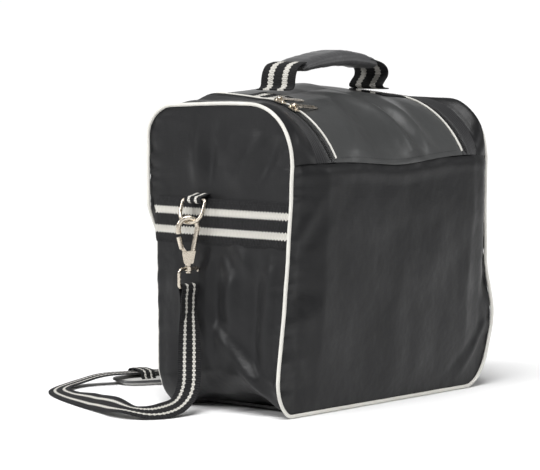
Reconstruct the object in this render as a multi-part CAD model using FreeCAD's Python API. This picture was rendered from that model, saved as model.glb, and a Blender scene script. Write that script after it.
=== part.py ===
import FreeCAD, Part
import math
import os

# Skate bag: a soft upright bag with a zipped lid, a padded carrying handle and a detachable
# shoulder strap. Millimetres. The origin is on the floor under the middle of the bag.
# +X runs along the wide front face, +Y from front to rear, +Z up.

V = FreeCAD.Vector
X_AXIS = V(1, 0, 0)
Y_AXIS = V(0, 1, 0)
Z_AXIS = V(0, 0, 1)
PARTS = "parts"

# --- driving dimensions -------------------------------------------------------------------
BASE_HALF_LENGTH = 188.0     # half length of the bag at the floor
END_LEAN = 15.0 / 269.0      # each end leans in by this much per millimetre of height
BASE_CORNER = 45.0           # radius of the rounded bottom corners, seen from the front
SEAM_HEIGHT = 268.0          # top seam of the front panel, which the lid hinges on
REAR_SEAM_HEIGHT = 276.0     # top of the rear panel
WALL = 2.6                   # fabric with its foam backing
BOARD = (280.0, 156.0, 3.0)  # stiffener in the base
ZIP_ARC_RADIUS = 118.0       # the lid's edge follows this arc up the front
ZIP_ARC_HEIGHT = 218.0       # height of that arc's centre, which is at Y = 0
LID_HALF_LENGTH = 112.0      # lid panel
ZIP_LINE = 119.0             # where the two halves of the zip meet
GUSSET_START = 138.0         # the shoulder panels start here and run out to the ends
LID_REAR_EDGE = 290.0        # height at which the lid panel ends at the rear
ZIP_REAR_LINE = 283.0        # height of the zip across the rear
TAPE = 1.2                   # thickness of the zip's tapes
COIL_HEIGHT = 1.6
COIL_WIDTH = 2.4
ZIP_GAP = 0.6                # half the gap between the two rows of teeth
TRIM = 2.0                   # raised piping along the lid's edge
PIPING_RADIUS = 2.2          # piping in the main seam
WEBBING = 50.0               # wide webbing of the handle and the side bands
WEBBING_THICKNESS = 2.0
BAND_HEIGHT = 205.0          # middle of the side bands
STRAP = 25.0                 # shoulder strap
STRAP_PLY = 1.6
CORD_DIAMETER = 7.0          # round section with about the strap's area
RING_Y = 30.0                # the ring tabs are sewn this far behind the middle
RING_BAR = (188.5, 229.0)    # distance from the middle and height of the ring's straight bar
RING_WIRE = 2.0
RING_DROP = 26.0
RING_LEAN = 20.3             # degrees, the thickness of the hook pushes the ring outwards
HOOK_WIRE = 2.8
HOOK_TURN = 45.0             # degrees from +X, the hook's flat side faces the front corner
EYE_TURN = 2.0
HANDLE_REACH = 84.0          # where the handle's webbing leaves the lid
GRIP_HALF_LENGTH = 79.0
GRIP_WIDTH = 48.0
GRIP_TOP = 389.0
GRIP_BOTTOM = 371.5
SLIDER_ANGLES = {"front": 25.1, "rear": 15.2}  # degrees down the zip's arc from its top
PULL_DROOP = 5.0             # degrees, the pulls slope down onto the lid
BELOW_FLOOR = -5.0           # how far the skin is drawn past the floor before it is cut

# Side view of the bag, (y, z), for the two ends, for the strip with the zip and for the
# crown in the middle. Each list runs foot, front belly, front seam, front curve, top start,
# top middle, top end, rear curve, rear shoulder, rear belly, foot.
ZIP_MIDDLE_OF_ARC = math.radians(122.5)
ZIP_SEAM_Y = -math.sqrt(ZIP_ARC_RADIUS ** 2 - (SEAM_HEIGHT - ZIP_ARC_HEIGHT) ** 2)
SIDE_VIEW = {
    "end": [(-88, 0), (-93, 135), (-97.5, 268), (-81, 314), (-38, 332), (12, 332.4),
            (65, 332), (94, 320), (104, 292), (97, 140), (88, 0)],
    "zip": [(-88, 0), (-103, 135), (ZIP_SEAM_Y, SEAM_HEIGHT),
            (ZIP_ARC_RADIUS * math.cos(ZIP_MIDDLE_OF_ARC),
             ZIP_ARC_HEIGHT + ZIP_ARC_RADIUS * math.sin(ZIP_MIDDLE_OF_ARC)),
            (0, ZIP_ARC_HEIGHT + ZIP_ARC_RADIUS), (30, 339), (62, 341), (95, 324),
            (106, 288), (104, 140), (88, 0)],
    "crown": [(-88, 0), (-106, 135), (ZIP_SEAM_Y, SEAM_HEIGHT), (-67, 319), (0, 343),
              (32, 348.5), (66, 346), (97, 327), (106, 288), (106, 140), (88, 0)],
}
SIDE_VIEW_AT = [(-205, "end"), (-160, "end"), (-128, "zip"), (-108, "zip"), (0, "crown"),
                (108, "zip"), (128, "zip"), (160, "end"), (205, "end")]

# Routes of the shoulder strap, chosen by hand: from the left hook over the floor and the
# pad to the adjuster, and from the adjuster to the right hook.
LEFT_ROUTE = [
    (-197.5, 30, 117), (-203, 27, 62), (-222, 17, 13), (-262, 19, 3.6), (-278, 46, 3.6),
    (-263, 92, 3.6), (-245, 141, 3.6), (-225, 187, 3.6), (-203, 228, 3.6), (-176, 252, 3.6),
    (-142, 258, 6), (-115, 247, 13), (-88, 231, 13.6), (-45, 213, 13.6), (0, 197, 13.6),
    (45, 180, 13.6), (78, 165, 13.2), (102, 155, 5.5), (126, 149, 3.8),
]
RIGHT_ROUTE = [
    (150, 147, 3.8), (182, 142, 3.6), (214, 125, 3.6), (239, 97, 3.6), (249, 62, 3.6),
    (241, 28, 3.6), (219, 18, 14), (203, 27, 62), (197.5, 30, 117),
]
PAD = {"length": 180.0, "width": 56.0, "height": 9.0, "at": V(-16, 203, 0), "turn": -20.5}
ADJUSTER = {"length": 24.0, "width": 32.0, "height": 4.0, "bar": 4.0, "rim": 3.0}


# --- helpers ------------------------------------------------------------------------------
def box(low, high):
    """A box between two corners."""
    return Part.makeBox(high[0] - low[0], high[1] - low[1], high[2] - low[2], V(*low))


def rod(start, end, radius):
    """A cylinder from one point to another."""
    along = end - start
    return Part.makeCylinder(radius, along.Length, start, along)


def span(start, middle, end):
    """An arc through three points, or a straight edge where they are nearly in line."""
    chord = end - start
    bow = (middle - start).cross(chord).Length / chord.Length
    if bow < 0.3:
        return Part.makeLine(start, end)
    return Part.Arc(start, middle, end).toShape()


def plate(points, thickness_vector):
    """A flat polygon pushed along a vector."""
    return Part.Face(Part.makePolygon(points + [points[0]])).extrude(thickness_vector)


def mirrored(shape):
    """The same shape at the other end of the bag."""
    return shape.mirror(V(0, 0, 0), X_AXIS)


def both_ends(name, shape):
    """The left piece and its mirror image, as two nodes."""
    return {"left_" + name: shape, "right_" + name: mirrored(shape)}


def rounded_path(points, radii, closed):
    """Straight runs through points, joined by tangent arcs of the given radii."""
    count = len(points)
    edges = []
    joints = []
    corners = range(count) if closed else range(1, count - 1)
    for i in corners:
        corner = points[i]
        back = (points[i - 1] - corner).normalize()
        ahead = (points[(i + 1) % count] - corner).normalize()
        turn = math.pi - back.getAngle(ahead)
        reach = radii[i] * math.tan(turn / 2)
        inward = (back + ahead).normalize()
        middle = corner + inward * (radii[i] / math.cos(turn / 2) - radii[i])
        joints.append((corner + back * reach, middle, corner + ahead * reach))
    if not closed:
        edges.append(Part.makeLine(points[0], joints[0][0]))
    for i, (enter, middle, leave) in enumerate(joints):
        edges.append(Part.Arc(enter, middle, leave).toShape())
        if i + 1 < len(joints):
            edges.append(Part.makeLine(leave, joints[i + 1][0]))
        elif closed:
            edges.append(Part.makeLine(leave, joints[0][0]))
        else:
            edges.append(Part.makeLine(leave, points[-1]))
    return Part.Wire(edges)


def bar_along(points, radii, radius, closed=False):
    """A round bar along a path with rounded corners."""
    path = rounded_path(points, radii, closed)
    first = path.Edges[0]
    start = first.valueAt(first.FirstParameter)
    circle = Part.makeCircle(radius, start, first.tangentAt(first.FirstParameter))
    return path.makePipeShell([Part.Wire([circle])], True, True)


def export(name, shape):
    """Write one node."""
    shape.exportStep(os.path.join(PARTS, name + ".step"))


# --- the bag's outline --------------------------------------------------------------------
def end_x(z):
    """Half length of the bag at a height."""
    return BASE_HALF_LENGTH - END_LEAN * z


def outline(x, profile, inset):
    """Closed side view of the bag at one place along its length, moved in by an inset.

    It runs on below the floor, and the bag's bottom is cut later.
    """
    depth = 1 - inset / 105.0
    height = 1 - 2 * inset / 345.0
    points = [V(x, y * depth, inset + z * height) for y, z in SIDE_VIEW[profile]]
    front_end = V(x, points[0].y, BELOW_FLOOR)
    rear_end = V(x, points[-1].y, BELOW_FLOOR)
    edges = [span(*points[i:i + 3]) for i in range(0, len(points) - 1, 2)]
    edges += [
        Part.makeLine(points[-1], rear_end),
        Part.makeLine(rear_end, front_end),
        Part.makeLine(front_end, points[0]),
    ]
    return Part.Wire(edges)


def body_form(inset):
    """The bag's form without its ends: one skin through the side views."""
    wires = [outline(x, profile, inset) for x, profile in SIDE_VIEW_AT]
    return Part.makeLoft(wires, True, True)


def end_form(inset):
    """What lies between the bag's two ends, with the rounded bottom corners."""
    top = 420.0
    corners = [(-(BASE_HALF_LENGTH - inset), inset), (BASE_HALF_LENGTH - inset, inset),
               (end_x(top) - inset, top), (-(end_x(top) - inset), top)]
    block = plate([V(x, -160, z) for x, z in corners], V(0, 320, 0))
    bottom_edges = [
        edge for edge in block.Edges
        if abs(edge.Length - 320) < 0.01 and edge.CenterOfMass.z < inset + 1
    ]
    return block.makeFillet(BASE_CORNER - inset, bottom_edges)


def layer(outside, inside):
    """The skin of the bag between two insets. A negative inset lies outside the bag."""
    return body_form(outside).cut(body_form(inside))


def u_strip(skin, inner, outer, rear_low, rear_high, front_low):
    """The part of a skin that runs up the front, over the top and across the rear as a U.

    inner and outer are distances from the middle, rear_low and rear_high are heights.
    """
    legs = [
        skin.common(box((inner, -140, front_low), (outer, 0, 380))),
        skin.common(box((inner, 0, rear_low), (outer, 140, 380))),
    ]
    legs += [mirrored(leg) for leg in legs]
    bridge = skin.common(box((-inner, 0, rear_low), (inner, 140, rear_high)))
    return legs[0].multiFuse(legs[1:] + [bridge]).removeSplitter()


# --- the bag ------------------------------------------------------------------------------
def make_bag():
    """Panels, base board, piping and side bands."""
    whole = body_form(0).common(end_form(0))
    hollow = body_form(WALL)
    ends = end_form(0).cut(end_form(WALL)).common(hollow)
    band = whole.cut(hollow)
    corner = BASE_HALF_LENGTH - BASE_CORNER
    nodes = {
        "front_panel": band.common(box((-210, -150, -1), (210, 0, SEAM_HEIGHT))),
        "rear_panel": band.common(box((-210, 0, -1), (210, 150, REAR_SEAM_HEIGHT))),
        "bottom_panel": ends.common(box((-corner, -150, -1), (corner, 150, 60))),
    }
    side = ends.common(box((-210, -150, -1), (-corner, 150, 380)))
    nodes.update(both_ends("side_panel", side))
    upper = band.cut(box((-210, -150, -1), (210, 0, SEAM_HEIGHT)))
    upper = upper.cut(box((-210, 0, -1), (210, 150, REAR_SEAM_HEIGHT)))
    gusset = upper.common(box((-210, -150, 0), (-GUSSET_START, 150, 380)))
    nodes.update(both_ends("shoulder_panel", gusset))
    length, depth, thickness = BOARD
    gap = 0.2
    nodes["base_board"] = box((-length / 2, -depth / 2, WALL + gap),
                              (length / 2, depth / 2, WALL + gap + thickness))
    nodes["seam_piping"] = make_piping().cut(whole)
    lower, higher = BAND_HEIGHT - WEBBING / 2, BAND_HEIGHT + WEBBING / 2
    strip = [V(-end_x(lower), -92, lower), V(-end_x(higher), -92, higher),
             V(-end_x(higher) - WEBBING_THICKNESS, -92, higher),
             V(-end_x(lower) - WEBBING_THICKNESS, -92, lower)]
    nodes.update(both_ends("side_band", plate(strip, V(0, 187.5, 0))))
    return nodes, whole


def make_piping():
    """One closed run of piping: up and over each end, and along the front and rear foot."""
    bottom = PIPING_RADIUS + 0.1
    out = 0.8
    top = 333.2

    def at(side, y, z):
        return V(side * (end_x(z) + out), y, z)

    points = []
    for side in (-1, 1):
        climb = [at(side, -89.0, bottom), at(side, -100.6, top),
                 at(side, 107.0, top), at(side, 92.0, bottom)]
        points += climb if side < 0 else climb[::-1]
    radii = [BASE_CORNER, 60.0, 40.0, BASE_CORNER] * 2
    radii = radii[:4] + radii[:4][::-1]
    return bar_along(points, radii, PIPING_RADIUS, closed=True)


# --- lid and zip --------------------------------------------------------------------------
def make_lid():
    """Lid panel with its piping, and both halves of the zip."""
    fabric = layer(0, WALL)
    tape = layer(0, TAPE)
    raised = layer(-COIL_HEIGHT, 0)
    trim = layer(-TRIM, 0)
    front = SEAM_HEIGHT + 0.6
    free = front + 4.0
    lid_line = ZIP_LINE - ZIP_GAP
    body_line = ZIP_LINE + ZIP_GAP
    lid_rear = ZIP_REAR_LINE + ZIP_GAP
    body_rear = ZIP_REAR_LINE - ZIP_GAP
    panel = fabric.common(box((-LID_HALF_LENGTH, -150, front), (LID_HALF_LENGTH, 0, 380)))
    panel = panel.fuse(fabric.common(
        box((-LID_HALF_LENGTH, 0, LID_REAR_EDGE), (LID_HALF_LENGTH, 150, 380))))
    return {
        "lid_panel": panel.removeSplitter(),
        "lid_piping": u_strip(trim, LID_HALF_LENGTH - 3, LID_HALF_LENGTH,
                              LID_REAR_EDGE, LID_REAR_EDGE + 3, free),
        "zip_tape_lid": u_strip(tape, LID_HALF_LENGTH, lid_line, lid_rear, LID_REAR_EDGE, front),
        "zip_coil_lid": u_strip(raised, lid_line - COIL_WIDTH, lid_line,
                                lid_rear, lid_rear + COIL_WIDTH, free),
        "zip_tape_body": u_strip(tape, body_line, GUSSET_START,
                                 REAR_SEAM_HEIGHT, body_rear, SEAM_HEIGHT),
        "zip_coil_body": u_strip(raised, body_line, body_line + COIL_WIDTH,
                                 body_rear - COIL_WIDTH, body_rear, SEAM_HEIGHT),
    }


def along_zip(shape, angle):
    """Carry a piece made at the top of the zip's arc down the front of the arc."""
    moved = shape.copy()
    moved.rotate(V(0, 0, ZIP_ARC_HEIGHT), X_AXIS, angle)
    return moved


def make_slider(angle):
    """Slider with its bridge, and the long slotted pull that lies across the lid."""
    surface = ZIP_ARC_HEIGHT + ZIP_ARC_RADIUS
    under = surface + COIL_HEIGHT + 0.4
    over = under + 1.4
    x = -ZIP_LINE
    top = box((x - 4.6, -6.5, under), (x + 4.6, 6.5, over))
    top = top.makeFillet(2.5, [e for e in top.Edges if abs(e.Length - 1.4) < 0.01])
    post = box((x - 0.35, -2.2, surface - 2.8), (x + 0.35, 2.2, under))
    lower = box((x - 0.35, -5.5, surface - 2.8), (x + 4.4, 5.5, surface - 1.8))
    bridge = box((x - 1.1, -5.0, over), (x + 1.1, 5.0, over + 3.4))
    bridge = bridge.cut(box((x - 2, -3.6, over), (x + 2, 3.6, over + 2.4)))
    slider = top.multiFuse([post, lower, bridge]).removeSplitter()
    bridge_bar = V(x, 0, over + 2.9)
    thick = 1.0
    width = 7.0
    length = 38.0
    ring_half = 1.5
    ring_start = bridge_bar - V(0, ring_half, 0)
    ring = Part.makeCylinder(2.5, 2 * ring_half, ring_start, Y_AXIS)
    eye = Part.makeCylinder(1.55, 4 * ring_half, ring_start - V(0, ring_half, 0), Y_AXIS)
    blade_start = x + 4.6
    blade = box((blade_start, -width / 2, bridge_bar.z - thick / 2),
                (x + length, width / 2, bridge_bar.z + thick / 2))
    blade = blade.makeFillet(3.2, [e for e in blade.Edges if abs(e.Length - thick) < 0.01])
    neck = box((x + 1.8, -ring_half, bridge_bar.z - thick / 2),
               (blade_start + 2.0, ring_half, bridge_bar.z + thick / 2))
    slot = box((blade_start + 6, -1.2, bridge_bar.z - 2),
               (x + length - 4, 1.2, bridge_bar.z + 2))
    pull = ring.multiFuse([blade, neck]).cut(slot).cut(eye).removeSplitter()
    pull.rotate(bridge_bar, Y_AXIS, PULL_DROOP)
    return along_zip(slider, angle), along_zip(pull, angle)


# --- handle -------------------------------------------------------------------------------
def make_handle():
    """Webbing sewn flat on the lid, the two legs that it rises in, and the padded grip."""
    half = WEBBING / 2
    skin = layer(-WEBBING_THICKNESS, 0)
    foot = skin.common(box((-(LID_HALF_LENGTH - 3), -half, 300), (-HANDLE_REACH, half, 380)))
    low = 345.5
    bend = 368.0
    reach = HANDLE_REACH + 3.0
    thick = WEBBING_THICKNESS
    side = [V(-reach, -half, low), V(-reach - 1.5, -half, bend - 8),
            V(-GRIP_HALF_LENGTH - 0.2, -half, bend), V(-GRIP_HALF_LENGTH - 0.2, -half, bend - thick),
            V(-reach - 1.5 + thick, -half, bend - 9), V(-reach + thick, -half, low)]
    leg = plate(side, V(0, WEBBING, 0))
    ends = GRIP_TOP - 11.5
    under = GRIP_BOTTOM - 9.0

    def grip_form(inset):
        x = GRIP_HALF_LENGTH - inset
        edges = [
            Part.Arc(V(-x, 0, ends - inset), V(0, 0, GRIP_TOP - inset),
                     V(x, 0, ends - inset)).toShape(),
            Part.makeLine(V(x, 0, ends - inset), V(x, 0, under + inset)),
            Part.Arc(V(x, 0, under + inset), V(0, 0, GRIP_BOTTOM + inset),
                     V(-x, 0, under + inset)).toShape(),
            Part.makeLine(V(-x, 0, under + inset), V(-x, 0, ends - inset)),
        ]
        width = GRIP_WIDTH - 2 * inset
        solid = Part.Face(Part.Wire(edges)).extrude(V(0, width, 0))
        solid.translate(V(0, -width / 2, 0))
        long_edges = [e for e in solid.Edges if e.Length > 1.5 * GRIP_HALF_LENGTH]
        return solid.makeFillet(6.0 - inset, long_edges)

    cover_thickness = 1.2
    core = grip_form(cover_thickness)
    return {
        "handle_foot_left": foot,
        "handle_foot_right": mirrored(foot),
        "handle_leg_left": leg,
        "handle_leg_right": mirrored(leg),
        "handle_grip_cover": grip_form(0).cut(core),
        "handle_grip_core": core,
    }


# --- ring, hook and eye at the left end ---------------------------------------------------
def turned(shape, centre, degrees):
    """A piece made with its flat side along X, turned about the hook's upright axis."""
    moved = shape.copy()
    moved.rotate(centre, Z_AXIS, -degrees)
    return moved


def make_ring_tab(bag, band):
    """Short loop of webbing that holds the ring's straight bar."""
    bar = V(-RING_BAR[0], RING_Y, RING_BAR[1])
    half = 11.8
    start = bar - V(0, half, 0)
    loop = Part.makeCylinder(4.3, 2 * half, start, Y_AXIS)
    root = plate([V(-170, RING_Y - half, bar.z + 3.6), V(bar.x, RING_Y - half, bar.z + 4.2),
                  V(bar.x, RING_Y - half, bar.z - 4.2), V(-170, RING_Y - half, bar.z - 3.6)],
                 V(0, 2 * half, 0))
    hole = Part.makeCylinder(RING_WIRE + 0.3, 4 * half, start - V(0, half, 0), Y_AXIS)
    tab = loop.fuse(root).cut(hole).cut(bag).cut(band)
    keep = box((-210, 0, 200), (-end_x(RING_BAR[1]) + 1, 60, 260))
    return tab.common(keep).removeSplitter()


def make_ring():
    """D-ring: a straight bar in the tab and a round bow that hangs below it."""
    bar = V(-RING_BAR[0], RING_Y, RING_BAR[1])
    half = 16.3
    points = [bar + V(0, -half, 0), bar + V(0, half, 0),
              bar + V(0, half, -RING_DROP), bar + V(0, -half, -RING_DROP)]
    ring = bar_along(points, [3.0, 3.0, 13.5, 13.5], RING_WIRE, closed=True)
    ring.rotate(bar, Y_AXIS, RING_LEAN)
    return ring


def hook_axis():
    """Where the hook hangs: under the lowest point of the ring's bow."""
    lean = math.radians(RING_LEAN)
    x = -RING_BAR[0] - RING_DROP * math.sin(lean)
    z = RING_BAR[1] - RING_DROP * math.cos(lean)
    return V(x, RING_Y, z)


def make_hook():
    """Swivel snap hook: body with its bow, sprung gate, rivet and swivel pin."""
    seat = hook_axis()
    top = seat.z + RING_WIRE + HOOK_WIRE + 0.35
    waist = 11.3
    wide = top - waist
    rivet_z = 168.0
    collar_z = 158.6

    def at(across, z):
        return V(seat.x + across, seat.y, z)

    bow = [at(-10.9, wide - 6.0), at(-waist, top), at(waist, top), at(3.8, rivet_z + 1)]
    wire = bar_along(bow, [0, 11.0, 9.3, 0], HOOK_WIRE)
    half = 3.6
    shank = plate([at(-5.4, 160.5), at(4.8, 160.5), at(7.6, 175.0), at(-7.2, 173.0)],
                  V(0, 2 * half, 0))
    shank.translate(V(0, -half, 0))
    shank = shank.makeFillet(1.4, [e for e in shank.Edges if abs(e.Length - 2 * half) < 0.01])
    slot = box((seat.x - 12, seat.y - 1.7, 164.0), (seat.x + 1.9, seat.y + 1.7, 183.0))
    rivet_start = V(seat.x - 1.5, seat.y - 4.1, rivet_z)
    axle = rod(rivet_start - V(0, 1, 0), rivet_start + V(0, 9.2, 0), 1.4)
    collar = Part.makeCylinder(4.0, 2.0, at(0, collar_z))
    pin_hole = Part.makeCylinder(2.0, 3.0, at(0, collar_z))
    body = wire.fuse(shank.cut(slot)).fuse(collar).cut(axle).cut(pin_hole)
    rivet = rod(rivet_start, rivet_start + V(0, 8.2, 0), 1.4)
    gate_path = [at(-10.8, wide - 9.4), at(-7.9, 177.6)]
    gate = rod(gate_path[0], gate_path[1], 2.5).fuse(Part.makeSphere(2.5, gate_path[1]))
    tongue = plate([at(-9.2, 178.0), at(-6.0, 179.0), at(0.9, 169.6), at(0.2, 165.9),
                    at(-3.4, 165.9)], V(0, 2.8, 0))
    tongue.translate(V(0, -1.4, 0))
    hole = rod(rivet_start - V(0, 1, 0), rivet_start + V(0, 9.2, 0), 1.45)
    gate = gate.fuse(tongue).cut(hole)
    gate = gate.cut(body).removeSplitter()
    pin = Part.makeCylinder(1.9, 10.1, at(0, collar_z - 7.1))
    head = Part.makeCylinder(3.2, 1.4, at(0, collar_z - 8.4))
    spring = box((seat.x - 4.5, seat.y - 1.2, 164.0), (seat.x + 1.0, seat.y + 1.2, 165.2))
    pieces = {
        "hook_body": body.removeSplitter(),
        "hook_gate": gate,
        "gate_spring": spring,
        "hook_rivet": rivet,
        "swivel_pin": pin.fuse(head).removeSplitter(),
    }
    return {name: turned(piece, seat, HOOK_TURN) for name, piece in pieces.items()}


def make_eye():
    """Square eye under the swivel, and the strap's sewn end round its lower bar."""
    seat = hook_axis()
    half = 14.6
    bar_z = 135.5
    wire = 1.8
    cross_z = 155.0
    sewn_z = 126.5
    boss = Part.makeCylinder(4.2, 4.6, V(seat.x, seat.y, cross_z - 2.3))
    middle = V(seat.x, seat.y, cross_z)
    corners = [middle, V(seat.x - half, seat.y, cross_z), V(seat.x - half, seat.y, bar_z),
               V(seat.x + half, seat.y, bar_z), V(seat.x + half, seat.y, cross_z), middle]
    eye = bar_along(corners, [0, 4.5, 2.5, 2.5, 4.5, 0], wire).fuse(boss)
    eye = eye.cut(Part.makeCylinder(1.95, 20, V(seat.x, seat.y, cross_z - 10)))
    width = STRAP / 2
    inner = wire + 0.3
    outer = inner + STRAP_PLY
    start = V(seat.x - width, seat.y, bar_z)
    fold = Part.makeCylinder(outer, 2 * width, start, X_AXIS)
    fold = fold.fuse(box((seat.x - width, seat.y - outer, sewn_z),
                         (seat.x + width, seat.y + outer, bar_z)))
    fold = fold.cut(Part.makeCylinder(inner, 4 * width, start - V(width, 0, 0), X_AXIS))
    sewn = box((seat.x - width, seat.y - STRAP_PLY, 117.0),
               (seat.x + width, seat.y + STRAP_PLY, sewn_z))
    fold = fold.fuse(sewn).removeSplitter()
    return {
        "swivel_eye": turned(eye.removeSplitter(), seat, EYE_TURN),
        "strap_end": turned(fold, seat, EYE_TURN),
    }


# --- shoulder strap -----------------------------------------------------------------------
def corner_radius(before, corner, after):
    """The largest tidy radius for one corner of a route, and its turn."""
    first = corner - before
    second = after - corner
    turn = first.getAngle(second)
    shorter = min(first.Length, second.Length)
    return 0.45 * shorter / math.tan(turn / 2), turn


def make_cord(name, route):
    """A round tube along straight runs joined by tangent arcs."""
    points = [V(*point) for point in route]
    edges = []
    start = points[0]
    radii = []
    length = 0.0
    for before, corner, after in zip(points, points[1:], points[2:]):
        radius, turn = corner_radius(before, corner, after)
        radii.append(round(radius))
        back = (before - corner).normalize()
        ahead = (after - corner).normalize()
        reach = radius * math.tan(turn / 2)
        enter = corner + back * reach
        leave = corner + ahead * reach
        inward = (back + ahead).normalize()
        middle = corner + inward * (radius / math.cos(turn / 2) - radius)
        edges.append(Part.LineSegment(start, enter).toShape())
        edges.append(Part.Arc(enter, middle, leave).toShape())
        length += (enter - start).Length + radius * turn
        start = leave
    edges.append(Part.LineSegment(start, points[-1]).toShape())
    length += (points[-1] - start).Length
    path = Part.Wire(edges)
    section = Part.makeCircle(CORD_DIAMETER / 2, points[0], points[1] - points[0])
    tube = path.makePipeShell([Part.Wire([section])], True, True)
    expected = math.pi * CORD_DIAMETER ** 2 / 4 * length
    print(name, "length", round(length), "radii", radii,
          "volume ratio", round(tube.Volume / expected, 3))
    return tube


def placed(shape, at, degrees):
    """Turn a piece made at the origin about Z and put it in place."""
    moved = shape.copy()
    moved.rotate(V(0, 0, 0), Z_AXIS, degrees)
    moved.translate(at)
    return moved


def make_strap():
    """Both lengths of the strap, the shoulder pad with its keepers, and the adjuster."""
    length, width, height = PAD["length"], PAD["width"], PAD["height"]
    pad = box((-length / 2, -width / 2, 0), (length / 2, width / 2, height))
    upright = [e for e in pad.Edges if abs(e.Length - height) < 0.01]
    pad = pad.makeFillet(24.0, upright)
    rims = [e for e in pad.Edges if abs(e.CenterOfMass.z - height) < 0.01]
    pad = pad.makeFillet(3.0, rims)
    clear = 10.0
    outer = box((-9, -width / 2 + 8, height), (9, width / 2 - 8, height + clear + 1.6))
    inner = box((-10, -width / 2 + 9.6, height), (10, width / 2 - 9.6, height + clear))
    keeper = outer.cut(inner)
    keepers = [keeper.translated(V(x, 0, 0)) for x in (-60, 55)]
    bar, rim = ADJUSTER["bar"], ADJUSTER["rim"]
    long, wide, high = ADJUSTER["length"], ADJUSTER["width"], ADJUSTER["height"]
    frame = box((-long / 2, -wide / 2, 0), (long / 2, wide / 2, high))
    frame = frame.makeFillet(3.0, [e for e in frame.Edges if abs(e.Length - high) < 0.01])
    for side in (-1, 1):
        near, far = side * bar / 2, side * (long / 2 - rim)
        frame = frame.cut(box((min(near, far), -wide / 2 + rim, -1),
                              (max(near, far), wide / 2 - rim, high + 1)))
    start, end = V(*LEFT_ROUTE[-1]), V(*RIGHT_ROUTE[0])
    heading = end - start
    middle = (start + end) * 0.5
    middle.z = start.z - high / 2
    turn = math.degrees(math.atan2(heading.y, heading.x))
    return {
        "strap_long": make_cord("strap_long", LEFT_ROUTE),
        "strap_short": make_cord("strap_short", RIGHT_ROUTE),
        "shoulder_pad": placed(pad, PAD["at"], PAD["turn"]),
        "pad_keepers": Part.makeCompound([placed(k, PAD["at"], PAD["turn"]) for k in keepers]),
        "strap_adjuster": placed(frame, middle, turn),
    }


# --- everything ---------------------------------------------------------------------------
def main():
    os.makedirs(PARTS, exist_ok=True)
    nodes, whole = make_bag()
    nodes.update(make_lid())
    for name, angle in SLIDER_ANGLES.items():
        slider, pull = make_slider(angle)
        nodes["zip_slider_" + name] = slider
        nodes["zip_pull_" + name] = pull
    nodes.update(make_handle())
    nodes.update(both_ends("ring_tab", make_ring_tab(whole, nodes["left_side_band"])))
    nodes.update(both_ends("d_ring", make_ring()))
    for name, piece in list(make_hook().items()) + list(make_eye().items()):
        nodes.update(both_ends(name, piece))
    nodes.update(make_strap())
    for cord, end in (("strap_long", "left_strap_end"), ("strap_short", "right_strap_end")):
        nodes[cord] = nodes[cord].cut(nodes[end]).cut(nodes["strap_adjuster"])
    for name, shape in nodes.items():
        export(name, shape)


main()
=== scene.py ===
import functools
import math

import bmesh
import bpy
import numpy as np
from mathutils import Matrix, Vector, noise


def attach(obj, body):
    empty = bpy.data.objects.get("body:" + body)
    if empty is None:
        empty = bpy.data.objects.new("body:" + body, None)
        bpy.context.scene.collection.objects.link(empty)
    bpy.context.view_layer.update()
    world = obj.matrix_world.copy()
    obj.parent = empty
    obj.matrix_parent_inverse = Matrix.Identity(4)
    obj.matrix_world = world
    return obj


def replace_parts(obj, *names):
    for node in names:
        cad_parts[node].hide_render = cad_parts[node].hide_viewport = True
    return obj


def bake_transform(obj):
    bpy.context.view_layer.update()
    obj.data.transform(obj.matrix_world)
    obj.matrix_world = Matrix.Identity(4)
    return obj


# Skate bag, looks. Shapes are worked out in millimetres and made in metres.
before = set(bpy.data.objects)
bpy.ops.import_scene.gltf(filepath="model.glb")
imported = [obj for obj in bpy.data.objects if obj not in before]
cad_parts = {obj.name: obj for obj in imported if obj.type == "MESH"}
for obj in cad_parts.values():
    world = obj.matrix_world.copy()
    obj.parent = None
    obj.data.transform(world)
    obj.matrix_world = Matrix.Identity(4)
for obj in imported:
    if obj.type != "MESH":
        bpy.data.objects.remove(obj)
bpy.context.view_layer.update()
MM = 0.001
UP = np.array([0.0, 0.0, 1.0])


# --- camera, floor and light --------------------------------------------------------------
LENS = 166.3
CAMERA_AT = (-2.149, -1.802, 0.407)
LOOKS_DOWN = 4.61
LOOKS_RIGHT = 48.68
SUN_WIDTH = 38.0
LAMP_SIZE = 0.6
FLOOR_HALF = 12.0
# The light round the bag is weak, and strong only straight behind it, as on a backdrop.
BEHIND = (0.751, 0.660, 0.0)
BACKDROP_EDGE = (0.86, 0.97)
ROOM_LIGHT = 0.22
BACKDROP_LIGHT = 1.02
SUN_LIGHT = 3.2
END_LIGHT = 24.0
FRONT_LIGHT = 9.0


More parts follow.
